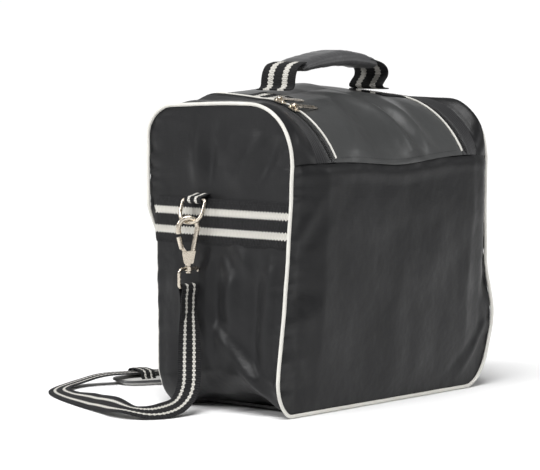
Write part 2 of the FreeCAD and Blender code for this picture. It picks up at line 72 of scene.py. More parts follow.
def make_stage():
    """Camera at the photograph's angle, pale floor and soft light."""
    scene = bpy.context.scene
    camera = bpy.data.objects.new("camera", bpy.data.cameras.new("camera"))
    camera.data.lens = LENS
    camera.data.sensor_width = 36.0
    camera.data.clip_end = 50.0
    camera.location = CAMERA_AT
    camera.rotation_euler = (math.radians(90 - LOOKS_DOWN), 0, math.radians(-LOOKS_RIGHT))
    scene.collection.objects.link(camera)
    scene.camera = camera
    scene.view_settings.view_transform = "Standard"
    world = bpy.data.worlds.new("studio")
    scene.world = world
    world.use_nodes = True
    nodes, links = world.node_tree.nodes, world.node_tree.links
    towards = nodes.new("ShaderNodeVectorMath")
    towards.operation = "DOT_PRODUCT"
    towards.inputs[1].default_value = BEHIND
    sweep = nodes.new("ShaderNodeMapRange")
    sweep.interpolation_type = "SMOOTHSTEP"
    for socket, value in zip(("From Min", "From Max", "To Min", "To Max"),
                             (*BACKDROP_EDGE, ROOM_LIGHT, BACKDROP_LIGHT)):
        sweep.inputs[socket].default_value = value
    links.new(nodes.new("ShaderNodeTexCoord").outputs["Generated"], towards.inputs[0])
    links.new(towards.outputs["Value"], sweep.inputs["Value"])
    links.new(sweep.outputs["Result"], nodes["Background"].inputs["Strength"])
    nodes["Background"].inputs["Color"].default_value = (1.0, 1.0, 1.0, 1.0)
    for name, kind, place, power in (("sun", "SUN", (-1.0, -0.45, 2.4), SUN_LIGHT),
                                     ("end", "AREA", (-2.3, 1.3, 1.5), END_LIGHT),
                                     ("front", "AREA", (1.5, -2.1, 1.4), FRONT_LIGHT)):
        lamp = bpy.data.objects.new(name, bpy.data.lights.new(name, kind))
        if kind == "SUN":
            lamp.data.angle = math.radians(SUN_WIDTH)
        else:
            lamp.data.size = LAMP_SIZE
        lamp.data.energy = power
        lamp.location = place
        aim = Vector((0.0, 0.0, 0.2)) - Vector(place)
        lamp.rotation_euler = aim.to_track_quat("-Z", "Y").to_euler()
        scene.collection.objects.link(lamp)
    mesh = bpy.data.meshes.new("floor")
    mesh.from_pydata([(FLOOR_HALF * a, FLOOR_HALF * b, 0)
                      for a, b in ((-1, -1), (1, -1), (1, 1), (-1, 1))], [], [(0, 1, 2, 3)])
    floor = bpy.data.objects.new("floor", mesh)
    scene.collection.objects.link(floor)
    material = bpy.data.materials.new("floor")
    material.use_nodes = True
    shader = material.node_tree.nodes["Principled BSDF"]
    shader.inputs["Base Color"].default_value = (0.95, 0.95, 0.95, 1)
    shader.inputs["Roughness"].default_value = 0.9
    shader.inputs["Specular IOR Level"].default_value = 0.0
    mesh.materials.append(material)


# --- materials ----------------------------------------------------------------------------
class Graph:
    """A Principled material and short ways to add nodes to it."""

    def __init__(self, name, **values):
        self.material = bpy.data.materials.new(name)
        self.material.use_nodes = True
        self.tree = self.material.node_tree
        self.shader = self.tree.nodes["Principled BSDF"]
        self.made(**values)

    def made(self, **values):
        """The material with these values or nodes on its shader's sockets."""
        for key, value in values.items():
            self.put(self.shader.inputs[key.replace("_", " ")], value)
        return self.material

    def put(self, socket, value):
        if isinstance(value, bpy.types.NodeSocket):
            self.tree.links.new(value, socket)
        elif isinstance(value, (tuple, list)) and len(value) == 3 and socket.type == "RGBA":
            socket.default_value = (*value, 1.0)
        else:
            socket.default_value = value

    def node(self, kind, out, **values):
        made = self.tree.nodes.new(kind)
        for key, value in values.items():
            name = key.replace("_", " ")
            if name in made.inputs:
                self.put(made.inputs[name], value)
            else:
                setattr(made, key, value)
        return made.outputs[out]

    def math(self, operation, a, b=0.0):
        made = self.tree.nodes.new("ShaderNodeMath")
        made.operation = operation
        self.put(made.inputs[0], a)
        self.put(made.inputs[1], b)
        return made.outputs[0]

    def mix(self, factor, a, b):
        made = self.tree.nodes.new("ShaderNodeMix")
        made.data_type = "RGBA"
        self.put(made.inputs[0], factor)
        self.put(made.inputs[6], a)
        self.put(made.inputs[7], b)
        return made.outputs[2]

    def noise(self, scale, detail=3.0):
        return self.node("ShaderNodeTexNoise", "Fac", Scale=scale, Detail=detail,
                         Vector=self.node("ShaderNodeTexCoord", "Object"))

    def along(self):
        """The two texture directions of a strip: share of its width, metres of its length."""
        coords = self.node("ShaderNodeTexCoord", "UV")
        made = self.tree.nodes.new("ShaderNodeSeparateXYZ")
        self.put(made.inputs[0], coords)
        return made.outputs[0], made.outputs[1]

    def wave(self, value, period):
        """A sine from 0 to 1 of that period."""
        turn = self.math("MULTIPLY", value, 2 * math.pi / period)
        return self.math("MULTIPLY_ADD", self.math("SINE", turn), 0.5)

    def bump(self, height, distance, strength=1.0, normal=None):
        made = self.tree.nodes.new("ShaderNodeBump")
        made.inputs["Distance"].default_value = distance
        made.inputs["Strength"].default_value = strength
        self.put(made.inputs["Height"], height)
        if normal:
            self.put(made.inputs["Normal"], normal)
        return made.outputs[0]

    def uneven(self, value, spread, pattern):
        """A value that varies by spread with a pattern of 0 to 1."""
        return self.math("ADD", self.math("MULTIPLY", pattern, spread), value - spread / 2)

    def ramp(self, value, low, high):
        """0 below low and 1 above high."""
        made = self.tree.nodes.new("ShaderNodeMapRange")
        made.clamp = True
        self.put(made.inputs["Value"], value)
        made.inputs["From Min"].default_value = low
        made.inputs["From Max"].default_value = high
        return made.outputs[0]


def tint(color, share):
    return tuple(share * c for c in color)


def nylon(name, color, rough, rib=1.0, shine=0.5):
    """Satin nylon: fine cross ribs, slack cloth, and patches that catch more light."""
    g = Graph(name, Sheen_Weight=0.03, Sheen_Roughness=0.4, Specular_IOR_Level=shine)
    across, along = g.along()
    ribs = g.math("MULTIPLY", g.wave(along, 0.0016), rib)
    threads = g.math("MULTIPLY", g.wave(across, 0.0011), 0.4 * rib)
    slack = g.bump(g.noise(38.0, 2.0), 0.0016, 0.55)
    crinkle = g.bump(g.noise(150.0, 2.0), 0.0004, 0.5, slack)
    return g.made(
        Base_Color=g.mix(g.ramp(g.noise(9.0, 4.0), 0.3, 0.7), tint(color, 0.8), tint(color, 1.2)),
        Roughness=g.uneven(rough, 0.14, g.noise(55.0, 5.0)),
        Normal=g.bump(g.math("ADD", ribs, threads), 0.00006, 0.5, crinkle))


def webbing(name, stripes, stripe_half, knit, pitch):
    """Black webbing with off-white stripes. Stripes are shares of the width."""
    g = Graph(name, Roughness=0.85, Sheen_Weight=0.04, Specular_IOR_Level=0.16)
    across, along = g.along()
    pick = pitch / 2
    teeth = g.math("MULTIPLY", g.math("PINGPONG", along, pick), knit / pick)
    mask = 0.0
    for centre in stripes:
        away = g.math("ABSOLUTE", g.math("SUBTRACT", across, centre))
        mask = g.math("ADD", g.math("LESS_THAN", g.math("ADD", away, teeth),
                                    stripe_half + knit / 2), mask)
    slant = g.math("MULTIPLY", g.math("PINGPONG", across, stripe_half), 40.0)
    turn = g.math("ADD", g.math("MULTIPLY", along, 2 * math.pi / pick), slant)
    picks = g.math("MULTIPLY_ADD", g.math("SINE", turn), 0.5)
    pale = g.mix(picks, (0.46, 0.445, 0.405), (0.74, 0.72, 0.67))
    black = g.mix(g.math("MULTIPLY", picks, g.noise(300.0, 2.0)), (0.006, 0.006, 0.0065),
                  (0.040, 0.040, 0.042))
    height = g.math("ADD", g.math("MULTIPLY", g.wave(along, pick), 0.6),
                    g.math("MULTIPLY", mask, picks))
    return g.made(Base_Color=g.mix(mask, black, pale), Normal=g.bump(height, 0.0007, 0.8))


def cloth_cord(name, color):
    """Cloth-covered piping: fine twill and slight soiling."""
    g = Graph(name, Roughness=0.62, Specular_IOR_Level=0.35, Sheen_Weight=0.1)
    across, along = g.along()
    twill = g.wave(g.math("ADD", along, g.math("MULTIPLY", across, 0.003)), 0.0013)
    lumps = g.bump(g.noise(90.0, 2.0), 0.0007, 0.5)
    return g.made(Base_Color=g.mix(g.ramp(g.noise(60.0, 4.0), 0.3, 0.75), tint(color, 0.9), color),
                  Normal=g.bump(twill, 0.00012, 0.5, lumps))


def metal(name, color, rough):
    """Satin plated casting, worn a little brighter in patches."""
    g = Graph(name, Metallic=1.0)
    wear = g.ramp(g.noise(120.0, 4.0), 0.35, 0.7)
    return g.made(Base_Color=g.mix(wear, tint(color, 0.86), color),
                  Roughness=g.uneven(rough, 0.18, g.noise(420.0, 3.0)),
                  Normal=g.bump(g.noise(900.0, 2.0), 0.00008, 0.35))


def plain(name, color, rough, grain, depth, specular=0.5):
    """Moulded plastic, board, foam or lining: one colour with its own grain."""
    g = Graph(name, Specular_IOR_Level=specular)
    fleck = g.noise(grain, 3.0)
    return g.made(Base_Color=g.mix(fleck, tint(color, 0.8), tint(color, 1.15)),
                  Roughness=g.uneven(rough, 0.1, fleck), Normal=g.bump(fleck, depth, 0.6))


def zip_tape(name):
    """Black tape with fine lengthwise ribs."""
    g = Graph(name, Roughness=0.75, Specular_IOR_Level=0.3, Sheen_Weight=0.15)
    across, along = g.along()
    ribs = g.wave(across, 0.13)
    cross = g.wave(along, 0.0011)
    height = g.math("ADD", ribs, g.math("MULTIPLY", cross, 0.4))
    return g.made(
        Base_Color=g.mix(g.math("MULTIPLY", ribs, cross), (0.006, 0.006, 0.007),
                         (0.02, 0.02, 0.022)),
        Normal=g.bump(height, 0.0003, 0.8))


# One charcoal nylon in three tones: the body's copy is darkened to the shaded front and ends, and
# the lid's and grip's copies are painted lighter, as lit from above.
CHARCOAL = (0.0115, 0.0116, 0.0124)
MATERIALS = {
    "fabric": nylon("fabric", CHARCOAL, 0.40, shine=0.24),
    # The lid's copy is painted lighter than the body's, as lit from above.
    "lid_fabric": nylon("lid_fabric", (0.044, 0.0455, 0.0455), 0.385),
    # The grip's copy is painted lighter still, as lit from above; the pad's binding wears it too.
    "painted_lit_grip_nylon": nylon("painted_lit_grip_nylon", (0.062, 0.062, 0.064), 0.38, 0.5),
    "pad_cloth": nylon("pad_cloth", (0.50, 0.495, 0.475), 0.6, 0.6),
    "lining": plain("lining", (0.012, 0.012, 0.013), 0.7, 260.0, 0.0002, 0.3),
    "wide_webbing": webbing("wide_webbing", (0.29, 0.71), 0.078, 0.036, 0.0042),
    "strap_webbing": webbing("strap_webbing", (0.285, 0.70), 0.060, 0.050, 0.0048),
    "piping": cloth_cord("piping", (0.74, 0.725, 0.675)),
    "tape": zip_tape("tape"),
    "coil": plain("coil", (0.012, 0.012, 0.012), 0.38, 900.0, 0.00005),
    "metal": metal("metal", (0.70, 0.63, 0.53), 0.28),
    "thread": plain("thread", (0.016, 0.016, 0.017), 0.65, 1500.0, 0.0001, 0.3),
    "board": plain("board", (0.02, 0.02, 0.02), 0.6, 700.0, 0.0001),
    "buckle": plain("buckle", (0.012, 0.012, 0.013), 0.33, 1200.0, 0.00004),
}


# --- mesh makers --------------------------------------------------------------------------
def add_mesh(name, points, faces, material, uv=None, smooth_angle=40.0):
    """A mesh object from points in millimetres. uv holds one pair for each point."""
    mesh = bpy.data.meshes.new(name)
    mesh.from_pydata([tuple(p) for p in np.asarray(points, float) * MM], [], faces)
    mesh.validate()
    if uv is not None:
        layer = mesh.uv_layers.new(name="strip")
        corners = np.empty(len(mesh.loops), int)
        mesh.loops.foreach_get("vertex_index", corners)
        layer.data.foreach_set("uv", np.asarray(uv, float)[corners].astype(np.float32).ravel())
    mesh.polygons.foreach_set("use_smooth", [True] * len(mesh.polygons))
    mesh.set_sharp_from_angle(angle=math.radians(smooth_angle))
    mesh.materials.append(MATERIALS[material])
    made = bpy.data.objects.new(name, mesh)
    bpy.context.scene.collection.objects.link(made)
    return made


def unit(vectors):
    """Vectors of length 1."""
    vectors = np.asarray(vectors, float)
    size = np.linalg.norm(vectors, axis=-1, keepdims=True)
    return vectors / np.maximum(size, 1e-9)


def grid_normals(grid, towards):
    """Unit normals of a grid of points, on the side that towards points to."""
    normals = unit(np.cross(np.gradient(grid, axis=1), np.gradient(grid, axis=0)))
    middle = normals[grid.shape[0] // 2, grid.shape[1] // 2]
    return -normals if np.dot(middle, towards) < 0 else normals


def slab(name, over, under, material, uv=None):
    """A closed piece between two grids of points, (along, across). Unless uv is given, it
    holds each point's share of the width and its place along the piece in metres."""
    rows, columns = over.shape[:2]
    count = rows * columns
    if uv is None:
        length = line_frame(over[:, 0])[1] * MM
        uv = np.stack(np.meshgrid(np.linspace(0, 1, columns), length), axis=2)
    r, c = rows // 2, columns // 2
    turn = np.cross(over[r, c + 1] - over[r, c], over[r + 1, c] - over[r, c])
    order = 1 if np.dot(turn, over[r, c] - under[r, c]) > 0 else -1
    faces = []
    for r in range(rows - 1):
        for c in range(columns - 1):
            a = r * columns + c
            quad = (a, a + 1, a + columns + 1, a + columns)
            faces += [quad[::order], tuple(count + i for i in quad)[::-order]]
    loop = (list(range(columns)) + [r * columns + columns - 1 for r in range(1, rows)]
            + [(rows - 1) * columns + c for c in range(columns - 2, -1, -1)]
            + [r * columns for r in range(rows - 2, 0, -1)])
    for a, b in zip(loop, loop[1:] + loop[:1]):
        faces.append((b, a, count + a, count + b)[::order])
    points = np.concatenate([over.reshape(-1, 3), under.reshape(-1, 3)])
    uv = uv.reshape(-1, 2)
    return add_mesh(name, points, faces, material, np.concatenate([uv, uv]))


def shell(name, grid, inward, material):
    """Cloth with a lining on a grid of points, with its thickness on the inward side."""
    sizes = [np.linalg.norm(np.diff(grid, axis=axis), axis=2).mean(axis=1 - axis)
             for axis in (1, 0)]
    u, v = (np.concatenate([[0], np.cumsum(size)]) * MM for size in sizes)
    made = slab(name, grid, grid + grid_normals(grid, inward) * CLOTH, material,
                np.stack(np.meshgrid(u, v), axis=2))
    made.data.materials.append(MATERIALS["lining"])
    count = grid.shape[0] * grid.shape[1]
    for polygon in made.data.polygons:
        if all(i >= count for i in polygon.vertices):
            polygon.material_index = 1
    return made


def line_frame(centre):
    """Unit tangents and the length so far along a line of points."""
    centre = np.asarray(centre, float)
    tangents = unit(np.gradient(centre, axis=0))
    steps = np.linalg.norm(np.diff(centre, axis=0), axis=1)
    return tangents, np.concatenate([[0], np.cumsum(steps)])


def ring_faces(size, rings, base=0, closed=False):
    """Faces of a tube made of rings of points, capped unless it is closed."""
    faces = []
    for i in range(rings if closed else rings - 1):
        ahead = ((i + 1) % rings - i) * size
        for k in range(size):
            a, b = base + i * size + k, base + i * size + (k + 1) % size
            faces.append((a, b, b + ahead, a + ahead))
    if not closed:
        faces.append(tuple(base + k for k in range(size))[::-1])
        faces.append(tuple(base + (rings - 1) * size + k for k in range(size)))
    return faces


def swept(name, centre, across, section, material, share=None, closed=False):
    """A section carried along a line. Section points are (across, out) in millimetres.

    across is one direction, or one for each point. share gives each section point's place
    across the strip, from 0 to 1.
    """
    centre = np.asarray(centre, float)
    tangents, length = line_frame(centre)
    if closed:
        tangents = unit(np.roll(centre, -1, axis=0) - np.roll(centre, 1, axis=0))
    across = np.broadcast_to(np.asarray(across, float), centre.shape)
    across = unit(across - tangents * np.sum(across * tangents, axis=1, keepdims=True))
    out = np.cross(across, tangents)
    section = np.asarray(section, float)
    size = section.shape[-2]
    points = (centre[:, None] + across[:, None] * section[..., :1]
              + out[:, None] * section[..., 1:2])
    if share is None:
        share = np.linspace(0, 1, size)
    uv = np.stack(np.meshgrid(share, length * MM), axis=2)
    return add_mesh(name, points.reshape(-1, 3), ring_faces(size, len(centre), closed=closed),
                    material, uv.reshape(-1, 2))


def strip_section(width, thickness, steps=12):
    """Section of a flat strap with soft edges, and each point's share of the width."""
    half = width / 2
    side = np.linspace(-1, 1, steps)
    edge = thickness * (1 - np.abs(side) ** 8 * 0.45) / 2
    top = np.stack([side * half, edge], axis=1)
    bottom = np.stack([side[::-1] * half, -edge[::-1]], axis=1)
    share = (np.concatenate([side, side[::-1]]) + 1) / 2
    return np.concatenate([top, bottom]), share


def ribbon(name, centre, across, width, thickness, material, steps=12):
    """A flat strap along a line."""
    section, share = strip_section(width, thickness, steps)
    return swept(name, centre, across, section, material, share)


def tube(name, centre, radius, material, closed=False, sides=10):
    """A round tube along a line."""
    centre = np.asarray(centre, float)
    tangents = line_frame(centre)[0]
    across = [unit(np.cross(tangents[0], UP if abs(tangents[0][2]) < 0.9 else (1.0, 0, 0)))]
    for tangent in tangents[1:]:
        across.append(unit(across[-1] - tangent * np.dot(across[-1], tangent)))
    turn = np.linspace(0, 2 * math.pi, sides, endpoint=False)
    circle = np.stack([np.cos(turn), np.sin(turn)], axis=1)
    radius = np.broadcast_to(np.asarray(radius, float), (len(centre),))
    return swept(name, centre, across, circle * radius[:, None, None], material, closed=closed)


def spaced(points, count):
    """Points evenly spaced along a line of points."""
    points = np.asarray(points, float)
    length = line_frame(points)[1]
    at = np.linspace(0, length[-1], count)
    return np.stack([np.interp(at, length, points[:, k]) for k in range(points.shape[1])], axis=1)


def curved(points, count):
    """Points evenly spaced along the Catmull-Rom curve through a line of points."""
    points = np.asarray(points, float)
    padded = np.concatenate([[2 * points[0] - points[1]], points,
                             [2 * points[-1] - points[-2]]])
    fine = []
    for a, b, c, d in zip(padded, padded[1:], padded[2:], padded[3:]):
        for t in np.linspace(0, 1, 16, endpoint=False):
            fine.append(0.5 * (2 * b + (c - a) * t + (2 * a - 5 * b + 4 * c - d) * t ** 2
                               + (3 * b - a - 3 * c + d) * t ** 3))
    return spaced(fine + [points[-1]], count)


def stitches(name, lines, outward, pitch=3.2, size=0.42, fill=0.68):
    """Rows of stitches: short raised threads along lines of points."""
    points = []
    faces = []
    outward = unit(outward)
    for line in lines:
        count = max(2, int(line_frame(line)[1][-1] / pitch))
        marks = spaced(line, 2 * count + 1)
        for i in range(0, 2 * count - 1, 2):
            start, end = marks[i], marks[i] + (marks[i + 2] - marks[i]) * fill
            side = unit(np.cross(unit(end - start), outward))
            middle = (start + end) / 2 + outward * size * 0.6
            base = len(points)
            points += [start, middle + side * size, middle + outward * size,
                       middle - side * size, end]
            faces += [(base, base + 1, base + 2), (base, base + 2, base + 3),
                      (base + 4, base + 2, base + 1), (base + 4, base + 3, base + 2),
                      (base, base + 3, base + 1), (base + 4, base + 1, base + 3)]
    return add_mesh(name, points, faces, "thread", smooth_angle=80.0)


def squared(angle, x_power, y_power):
    """A point of the unit circle pushed out towards the corners of a square."""
    c, s = math.cos(angle), math.sin(angle)
    return math.copysign(abs(c) ** x_power, c), math.copysign(abs(s) ** y_power, s)


# --- the bag's skin -----------------------------------------------------------------------
# Nearly the CAD model's side views: foot, front belly, front seam, front curve, top start,
# top middle, top end, rear curve, rear shoulder, rear belly, foot.
SEAM = 268.0
ARC = 118.0
ARC_HEIGHT = 218.0
ARC_MIDDLE = math.radians(122.5)
SEAM_Y = -math.sqrt(ARC ** 2 - (SEAM - ARC_HEIGHT) ** 2)
SIDE_VIEWS = {
    "end": [(-88, 0), (-93, 135), (-97.5, 268), (-81, 314), (-38, 332), (12, 332.4),
            (72, 331), (103, 317), (111, 288), (104, 140), (90, 0)],
    "zip": [(-88, 0), (-103, 135), (SEAM_Y, SEAM),
            (ARC * math.cos(ARC_MIDDLE), ARC_HEIGHT + ARC * math.sin(ARC_MIDDLE)),
            (0, ARC_HEIGHT + ARC), (30, 339), (62, 341), (95, 324), (106, 288), (104, 140),
            (88, 0)],
    "crown": [(-88, 0), (-106, 135), (SEAM_Y, SEAM), (-67, 319), (0, 343), (32, 348.5),
              (66, 346), (97, 327), (106, 288), (106, 140), (88, 0)],
}
STATIONS = [(-205, "end"), (-160, "end"), (-128, "zip"), (-108, "zip"), (0, "crown"),
            (108, "zip"), (128, "zip"), (160, "end"), (205, "end")]
FINE = 40


def arc_through(a, b, c):
    """FINE points from a towards c on the arc through all three, or on the straight line."""
    a, b, c = (np.array(p, float) for p in (a, b, c))
    chord = c - a
    bow = abs(np.cross(b - a, chord)) / np.linalg.norm(chord)
    share = np.arange(FINE)[:, None] / FINE
    if bow < 0.3:
        return a + chord * share
    system = 2 * np.array([b - a, c - a])
    centre = np.linalg.solve(system, [b @ b - a @ a, c @ c - a @ a])
    start, middle, end = (math.atan2(*(p - centre)[::-1]) for p in (a, b, c))
    turn = (end - start) % (2 * math.pi)
    if (middle - start) % (2 * math.pi) > turn:
        turn -= 2 * math.pi
    angle = start + turn * share[:, 0]
    return centre + np.linalg.norm(a - centre) * np.stack([np.cos(angle), np.sin(angle)], axis=1)


def side_view(points):
    arcs = [arc_through(*points[i:i + 3]) for i in range(0, len(points) - 1, 2)]
    return np.concatenate(arcs + [[points[-1]]])


VIEWS = {name: side_view(points) for name, points in SIDE_VIEWS.items()}
VIEW_T = np.arange(len(VIEWS["end"])) / FINE
CROWN_LIFT = 3.0


@functools.lru_cache(maxsize=None)
def section_at(x):
    """The side view at one place along the bag."""
    for (low, first), (high, second) in zip(STATIONS, STATIONS[1:]):
        if x <= high:
            break
    share = np.clip((x - low) / (high - low), 0, 1)
    view = VIEWS[first] * (1 - share) + VIEWS[second] * share
    lift = CROWN_LIFT * max(0.0, 1 - (x / 112.0) ** 2)
    view = view.copy()
    view[:, 1] += lift * np.clip((view[:, 1] - 300.0) / 40.0, 0, 1)
    return view


def skin(x, t):
    """Point on the bag at t from 0 at the front foot over the top to 5 at the rear foot."""
    view = section_at(x)
    return np.array([x, np.interp(t, VIEW_T, view[:, 0]), np.interp(t, VIEW_T, view[:, 1])])


def front_t(x, z):
    """Where the front of the bag reaches a height."""
    view = section_at(x)
    last = int(2.2 * FINE)
    return float(np.interp(z, np.maximum.accumulate(view[:last, 1]), VIEW_T[:last]))


def rear_t(x, z):
    """Where the rear of the bag reaches a height."""
    view = section_at(x)
    first = int(2.8 * FINE)
    heights = np.maximum.accumulate(view[first:, 1][::-1])
    return float(np.interp(z, heights, VIEW_T[first:][::-1]))


def seam_height(x):
    """The front panel's top seam, which sags in the middle."""
    return 270.5 - 7.0 * math.exp(-((x + 2.0) / 62.0) ** 2) - 2.5 * math.exp(-((x - 165) / 25) ** 2)


def seam_y(side, z):
    """How far forward and back the end seam lies at a height."""
    return (skin(side * END_X, front_t(side * END_X, z))[1],
            skin(side * END_X, rear_t(side * END_X, z))[1])


REAR_SEAM = 276.0
END_X = 175.0
FOOT_Z = 0.3
CLOTH = 2.4
SIDES = ((-1, "left"), (1, "right"))

# Outline of the front and rear panels at each end, (distance from the middle, height).
EDGES = {
    -1: [(160, 0.3), (171, 4), (181, 14), (187, 28), (188.5, 46), (183.5, 94), (179.8, 142),
         (177, 191), (174.8, 268)],
    1: [(134, 0.3), (149, 4), (162, 12), (175, 31.5), (183.5, 62), (186, 87), (182, 130),
        (177.5, 191), (172.6, 268)],
}
ROWS = 104
EDGE_PATHS = {side: curved(points, ROWS) for side, points in EDGES.items()}


def edge_x(side, z):
    """How far out the end seam lies at a height above the bottom corner."""
    path = EDGE_PATHS[side]
    reach = np.interp(z, path[:, 1], path[:, 0])
    return reach if z <= SEAM or side < 0 else reach - (z - SEAM) * 0.056


def smooth_step(value, low, high):
    """0 below low, 1 above high, and a soft step between."""
    share = np.clip((np.asarray(value, float) - low) / (high - low), 0, 1)
    return share * share * (3 - 2 * share)


def rounded(grid):
    """Points of the bag with its right end drawn in, the left end's rear edge turned in, and
    the slack top of both shoulders let down."""
    made = np.array(grid, float)
    x, y, z = made[..., 0], made[..., 1], made[..., 2]
    right = smooth_step(x, 158, 180) * smooth_step(z, 80, 135)
    rear = np.interp(z, (0, 140, 215), (90, 104, 109))
    left = (smooth_step(-x, 150, 173) * smooth_step(y - rear, -15, 0) ** 2.2
            * (1 - smooth_step(z, 180, 222)))
    top = smooth_step(z, 300, 326) * smooth_step(np.where(x > 0, x - 26, -x), 119, 140)
    sag = top * np.where(x > 0, 8.0 * smooth_step(y, -75, -15), 2.0 * smooth_step(y, -30, 70))
    made[..., 0] = x + 15.0 * left
    made[..., 1] = y - 0.085 * (y - 4.0) * right
    made[..., 2] = z - 0.10 * (z - 240.0) * right - sag
    return made


def drift(*place):
    """Smooth repeatable noise, -1 to 1."""
    return noise.noise(Vector((*place, 0.0)[:3]))


def bell(value, width):
    return math.exp(-(value / width) ** 2)


def folds(place, z, rows):
    """Height of single folds. A row is (height of the fold, place of its middle, lean, half
    width, middle height, half length): the place moves by -lean for each mm up."""
    return sum(size * bell(place - at + lean * (z - middle), width) * bell(z - middle, length)
               for size, at, lean, width, middle, length in rows)


def puckers(along, away, pitch, reach, depth, seed):
    """Small folds that start at a seam and fade out away from it."""
    pull = drift(along / pitch, seed, away * 0.012) + 0.4 * drift(along / (0.45 * pitch), seed + 5)
    return depth * max(-0.8, min(1.0, 1.6 * pull)) * math.exp(-away / reach)


def displaced(grid, outward, depth):
    """Move each grid point along its normal. outward is a direction on the outer side."""
    return grid + grid_normals(grid, outward) * depth[:, :, None]


# --- front, rear and base -----------------------------------------------------------------
def upright_panel(rear):
    """Front or rear panel as a grid from its foot to its top seam."""
    columns = 96
    grid = np.zeros((ROWS, columns, 3))
    depth = np.zeros((ROWS, columns))
    crowd = 0.12
    for r in range(ROWS):
        left, right = EDGE_PATHS[-1][r], EDGE_PATHS[1][r]
        for c in range(columns):
            u = c / (columns - 1)
            u = math.cos(math.pi * (crowd + (1 - 2 * crowd) * u)) / math.cos(math.pi * crowd)
            u = 0.5 - 0.5 * u
            x = -left[0] * (1 - u) + right[0] * u
            z = left[1] * (1 - u) + right[1] * u
            top = REAR_SEAM if rear else seam_height(x)
            z *= 1 + (top / SEAM - 1) * (z / SEAM) ** 2
            t = rear_t(x, z) if rear else front_t(x, z)
            grid[r, c] = skin(x, t)
            grid[r, c, 2] = z
            side_gap = min(x + left[0], right[0] - x)
            corner = min(side_gap, z)
            free = min(1.0, side_gap / 30.0, z / 30.0, (top - z) / 22.0)
            slack = 3.2 * drift(x / 95, z / 80, 3.1 + rear) + 1.5 * drift(x / 38, z / 46, 8.2)
            slack += 0.35 * drift(x / 15, z / 19, 5.5)
            value = free * slack
            if not rear:
                value += front_folds(x, z, left[0], right[0])
            for along, away, *shape, seed in ((z, x + left[0], 13.0, 15.0, 2.4, 2.0),
                                              (z, right[0] - x, 15.0, 13.0, 2.0, 7.0),
                                              (x, z, 17.0, 10.0, 0.9, 11.0),
                                              (x, top - z, 22.0, 9.0, 1.0, 14.0)):
                value += puckers(along, away, *shape, seed + rear)
            value += 1.5 * bell(top - z - 10, 7)
            value -= 1.3 * math.exp(-corner / 5.0) + 1.9 * math.exp(-(top - z) / 3.2)
            depth[r, c] = value
    return rounded(displaced(grid, (0, 1 if rear else -1, 0), depth))


# Folds of the front by distance from its left seam, from the middle and from its right seam,
# rows as in folds().
LEFT_FOLDS = [(3.4, 30.9, 0.35, 15, 104, 17), (1.3, 14, 0, 10, 158, 7), (1.1, 16, 0, 11, 178, 6),
              (-2.6, 30, 0, 22, 132, 12), (2.2, 25, -0.5, 7, 206, 26), (-2.0, 38, -0.5, 9, 200, 24),
              (1.8, 24.4, 0.6, 8, 66, 24)]
MIDDLE_FOLDS = [(1.9, -92.5, 0.5, 26, 226, 30), (-2.2, 15, 0.6, 42, 195, 42)]
RIGHT_FOLDS = [(5.4, 24, 0, 17, 185, 85), (-1.9, 8, 0, 9, 190, 60), (2.4, 26, 0.5, 7, 52, 26),
               (-1.2, 49.2, 0.7, 8, 44, 22)]


def front_folds(x, z, left, right):
    """The few folds that show on the front: drags from the left seam and a slack lower right."""
    return (folds(x + left, z, LEFT_FOLDS) + folds(x, z, MIDDLE_FOLDS)
            + folds(right - x, z, RIGHT_FOLDS))


def base_and_ends():
    """The strip that runs down each end and across the bottom, as three grids."""
    columns = 112
    top_rows = 30
    top = 331.6
    ends = {}
    for side in (-1, 1):
        path = [tuple(p) for p in EDGE_PATHS[side]]
        for z in SEAM + (top - SEAM) * np.sin(np.linspace(0, math.pi / 2, top_rows + 1))[1:]:
            path.append((edge_x(side, z), z))
        grid = np.zeros((len(path), columns, 3))
        depth = np.zeros((len(path), columns))
        for r, (reach, z) in enumerate(path):
            front, rear = seam_y(side, z)
            for c in range(columns):
                u = 0.5 - 0.5 * math.cos(math.pi * c / (columns - 1))
                y = front * (1 - u) + rear * u
                middle = 4 * u * (1 - u)
                lift, tuck = end_foot(side, y, z, middle)
                grid[r, c] = (side * (reach - tuck), y, z + lift)
                depth[r, c] = end_folds(side, y, z, y - front, rear - y, middle)
        ends[side] = rounded(displaced(grid, (side, 0, 0), depth))
    steps = 26
    bottom = np.array([ends[-1][0] * (1 - s) + ends[1][0] * s for s in np.linspace(0, 1, steps)])
    for end, order in ((0, 1), (-1, -1)):
        rise = bottom[end, :, 2] - FOOT_Z
        for step in range(1, steps // 2):
            bottom[order * step + end, :, 2] = FOOT_Z + rise * max(0.0, 1 - step / 3.3) ** 1.5
    bottom[steps // 2 - 1:steps // 2 + 1, :, 2] = FOOT_Z
    return ends, bottom


FOOT_LIFT = 19.0
BAND_Z = 205.0
BAND_WIDTH = 50.0


def end_foot(side, y, z, middle):
    """Lift of the bottom edge and tuck of the lower end, where the bag folds in under itself."""
    low = bell(max(0.0, z - 4.0), 34.0)
    shape = bell(y + 30, 50) + 0.45 * bell(y - 30, 26) if side < 0 else 0.5 * bell(y - 5, 52)
    edge = min(1.0, 2.2 * middle)
    return FOOT_LIFT * shape * low * edge, 4.0 * low * shape * edge


def crease_line(y, z):
    """Signed distance from the diagonal crease low on the left end, and place along it."""
    start, end = np.array([6.0, 100.0]), np.array([-63.0, 20.0])
    along = (end - start) / np.linalg.norm(end - start)
    away = np.array([y, z]) - start
    place = float(away @ along) / np.linalg.norm(end - start)
    bend = 7.0 * math.sin(math.pi * min(1.0, max(0.0, place)))
    return float(away[0] * -along[1] + away[1] * along[0]) * -1 - bend, place


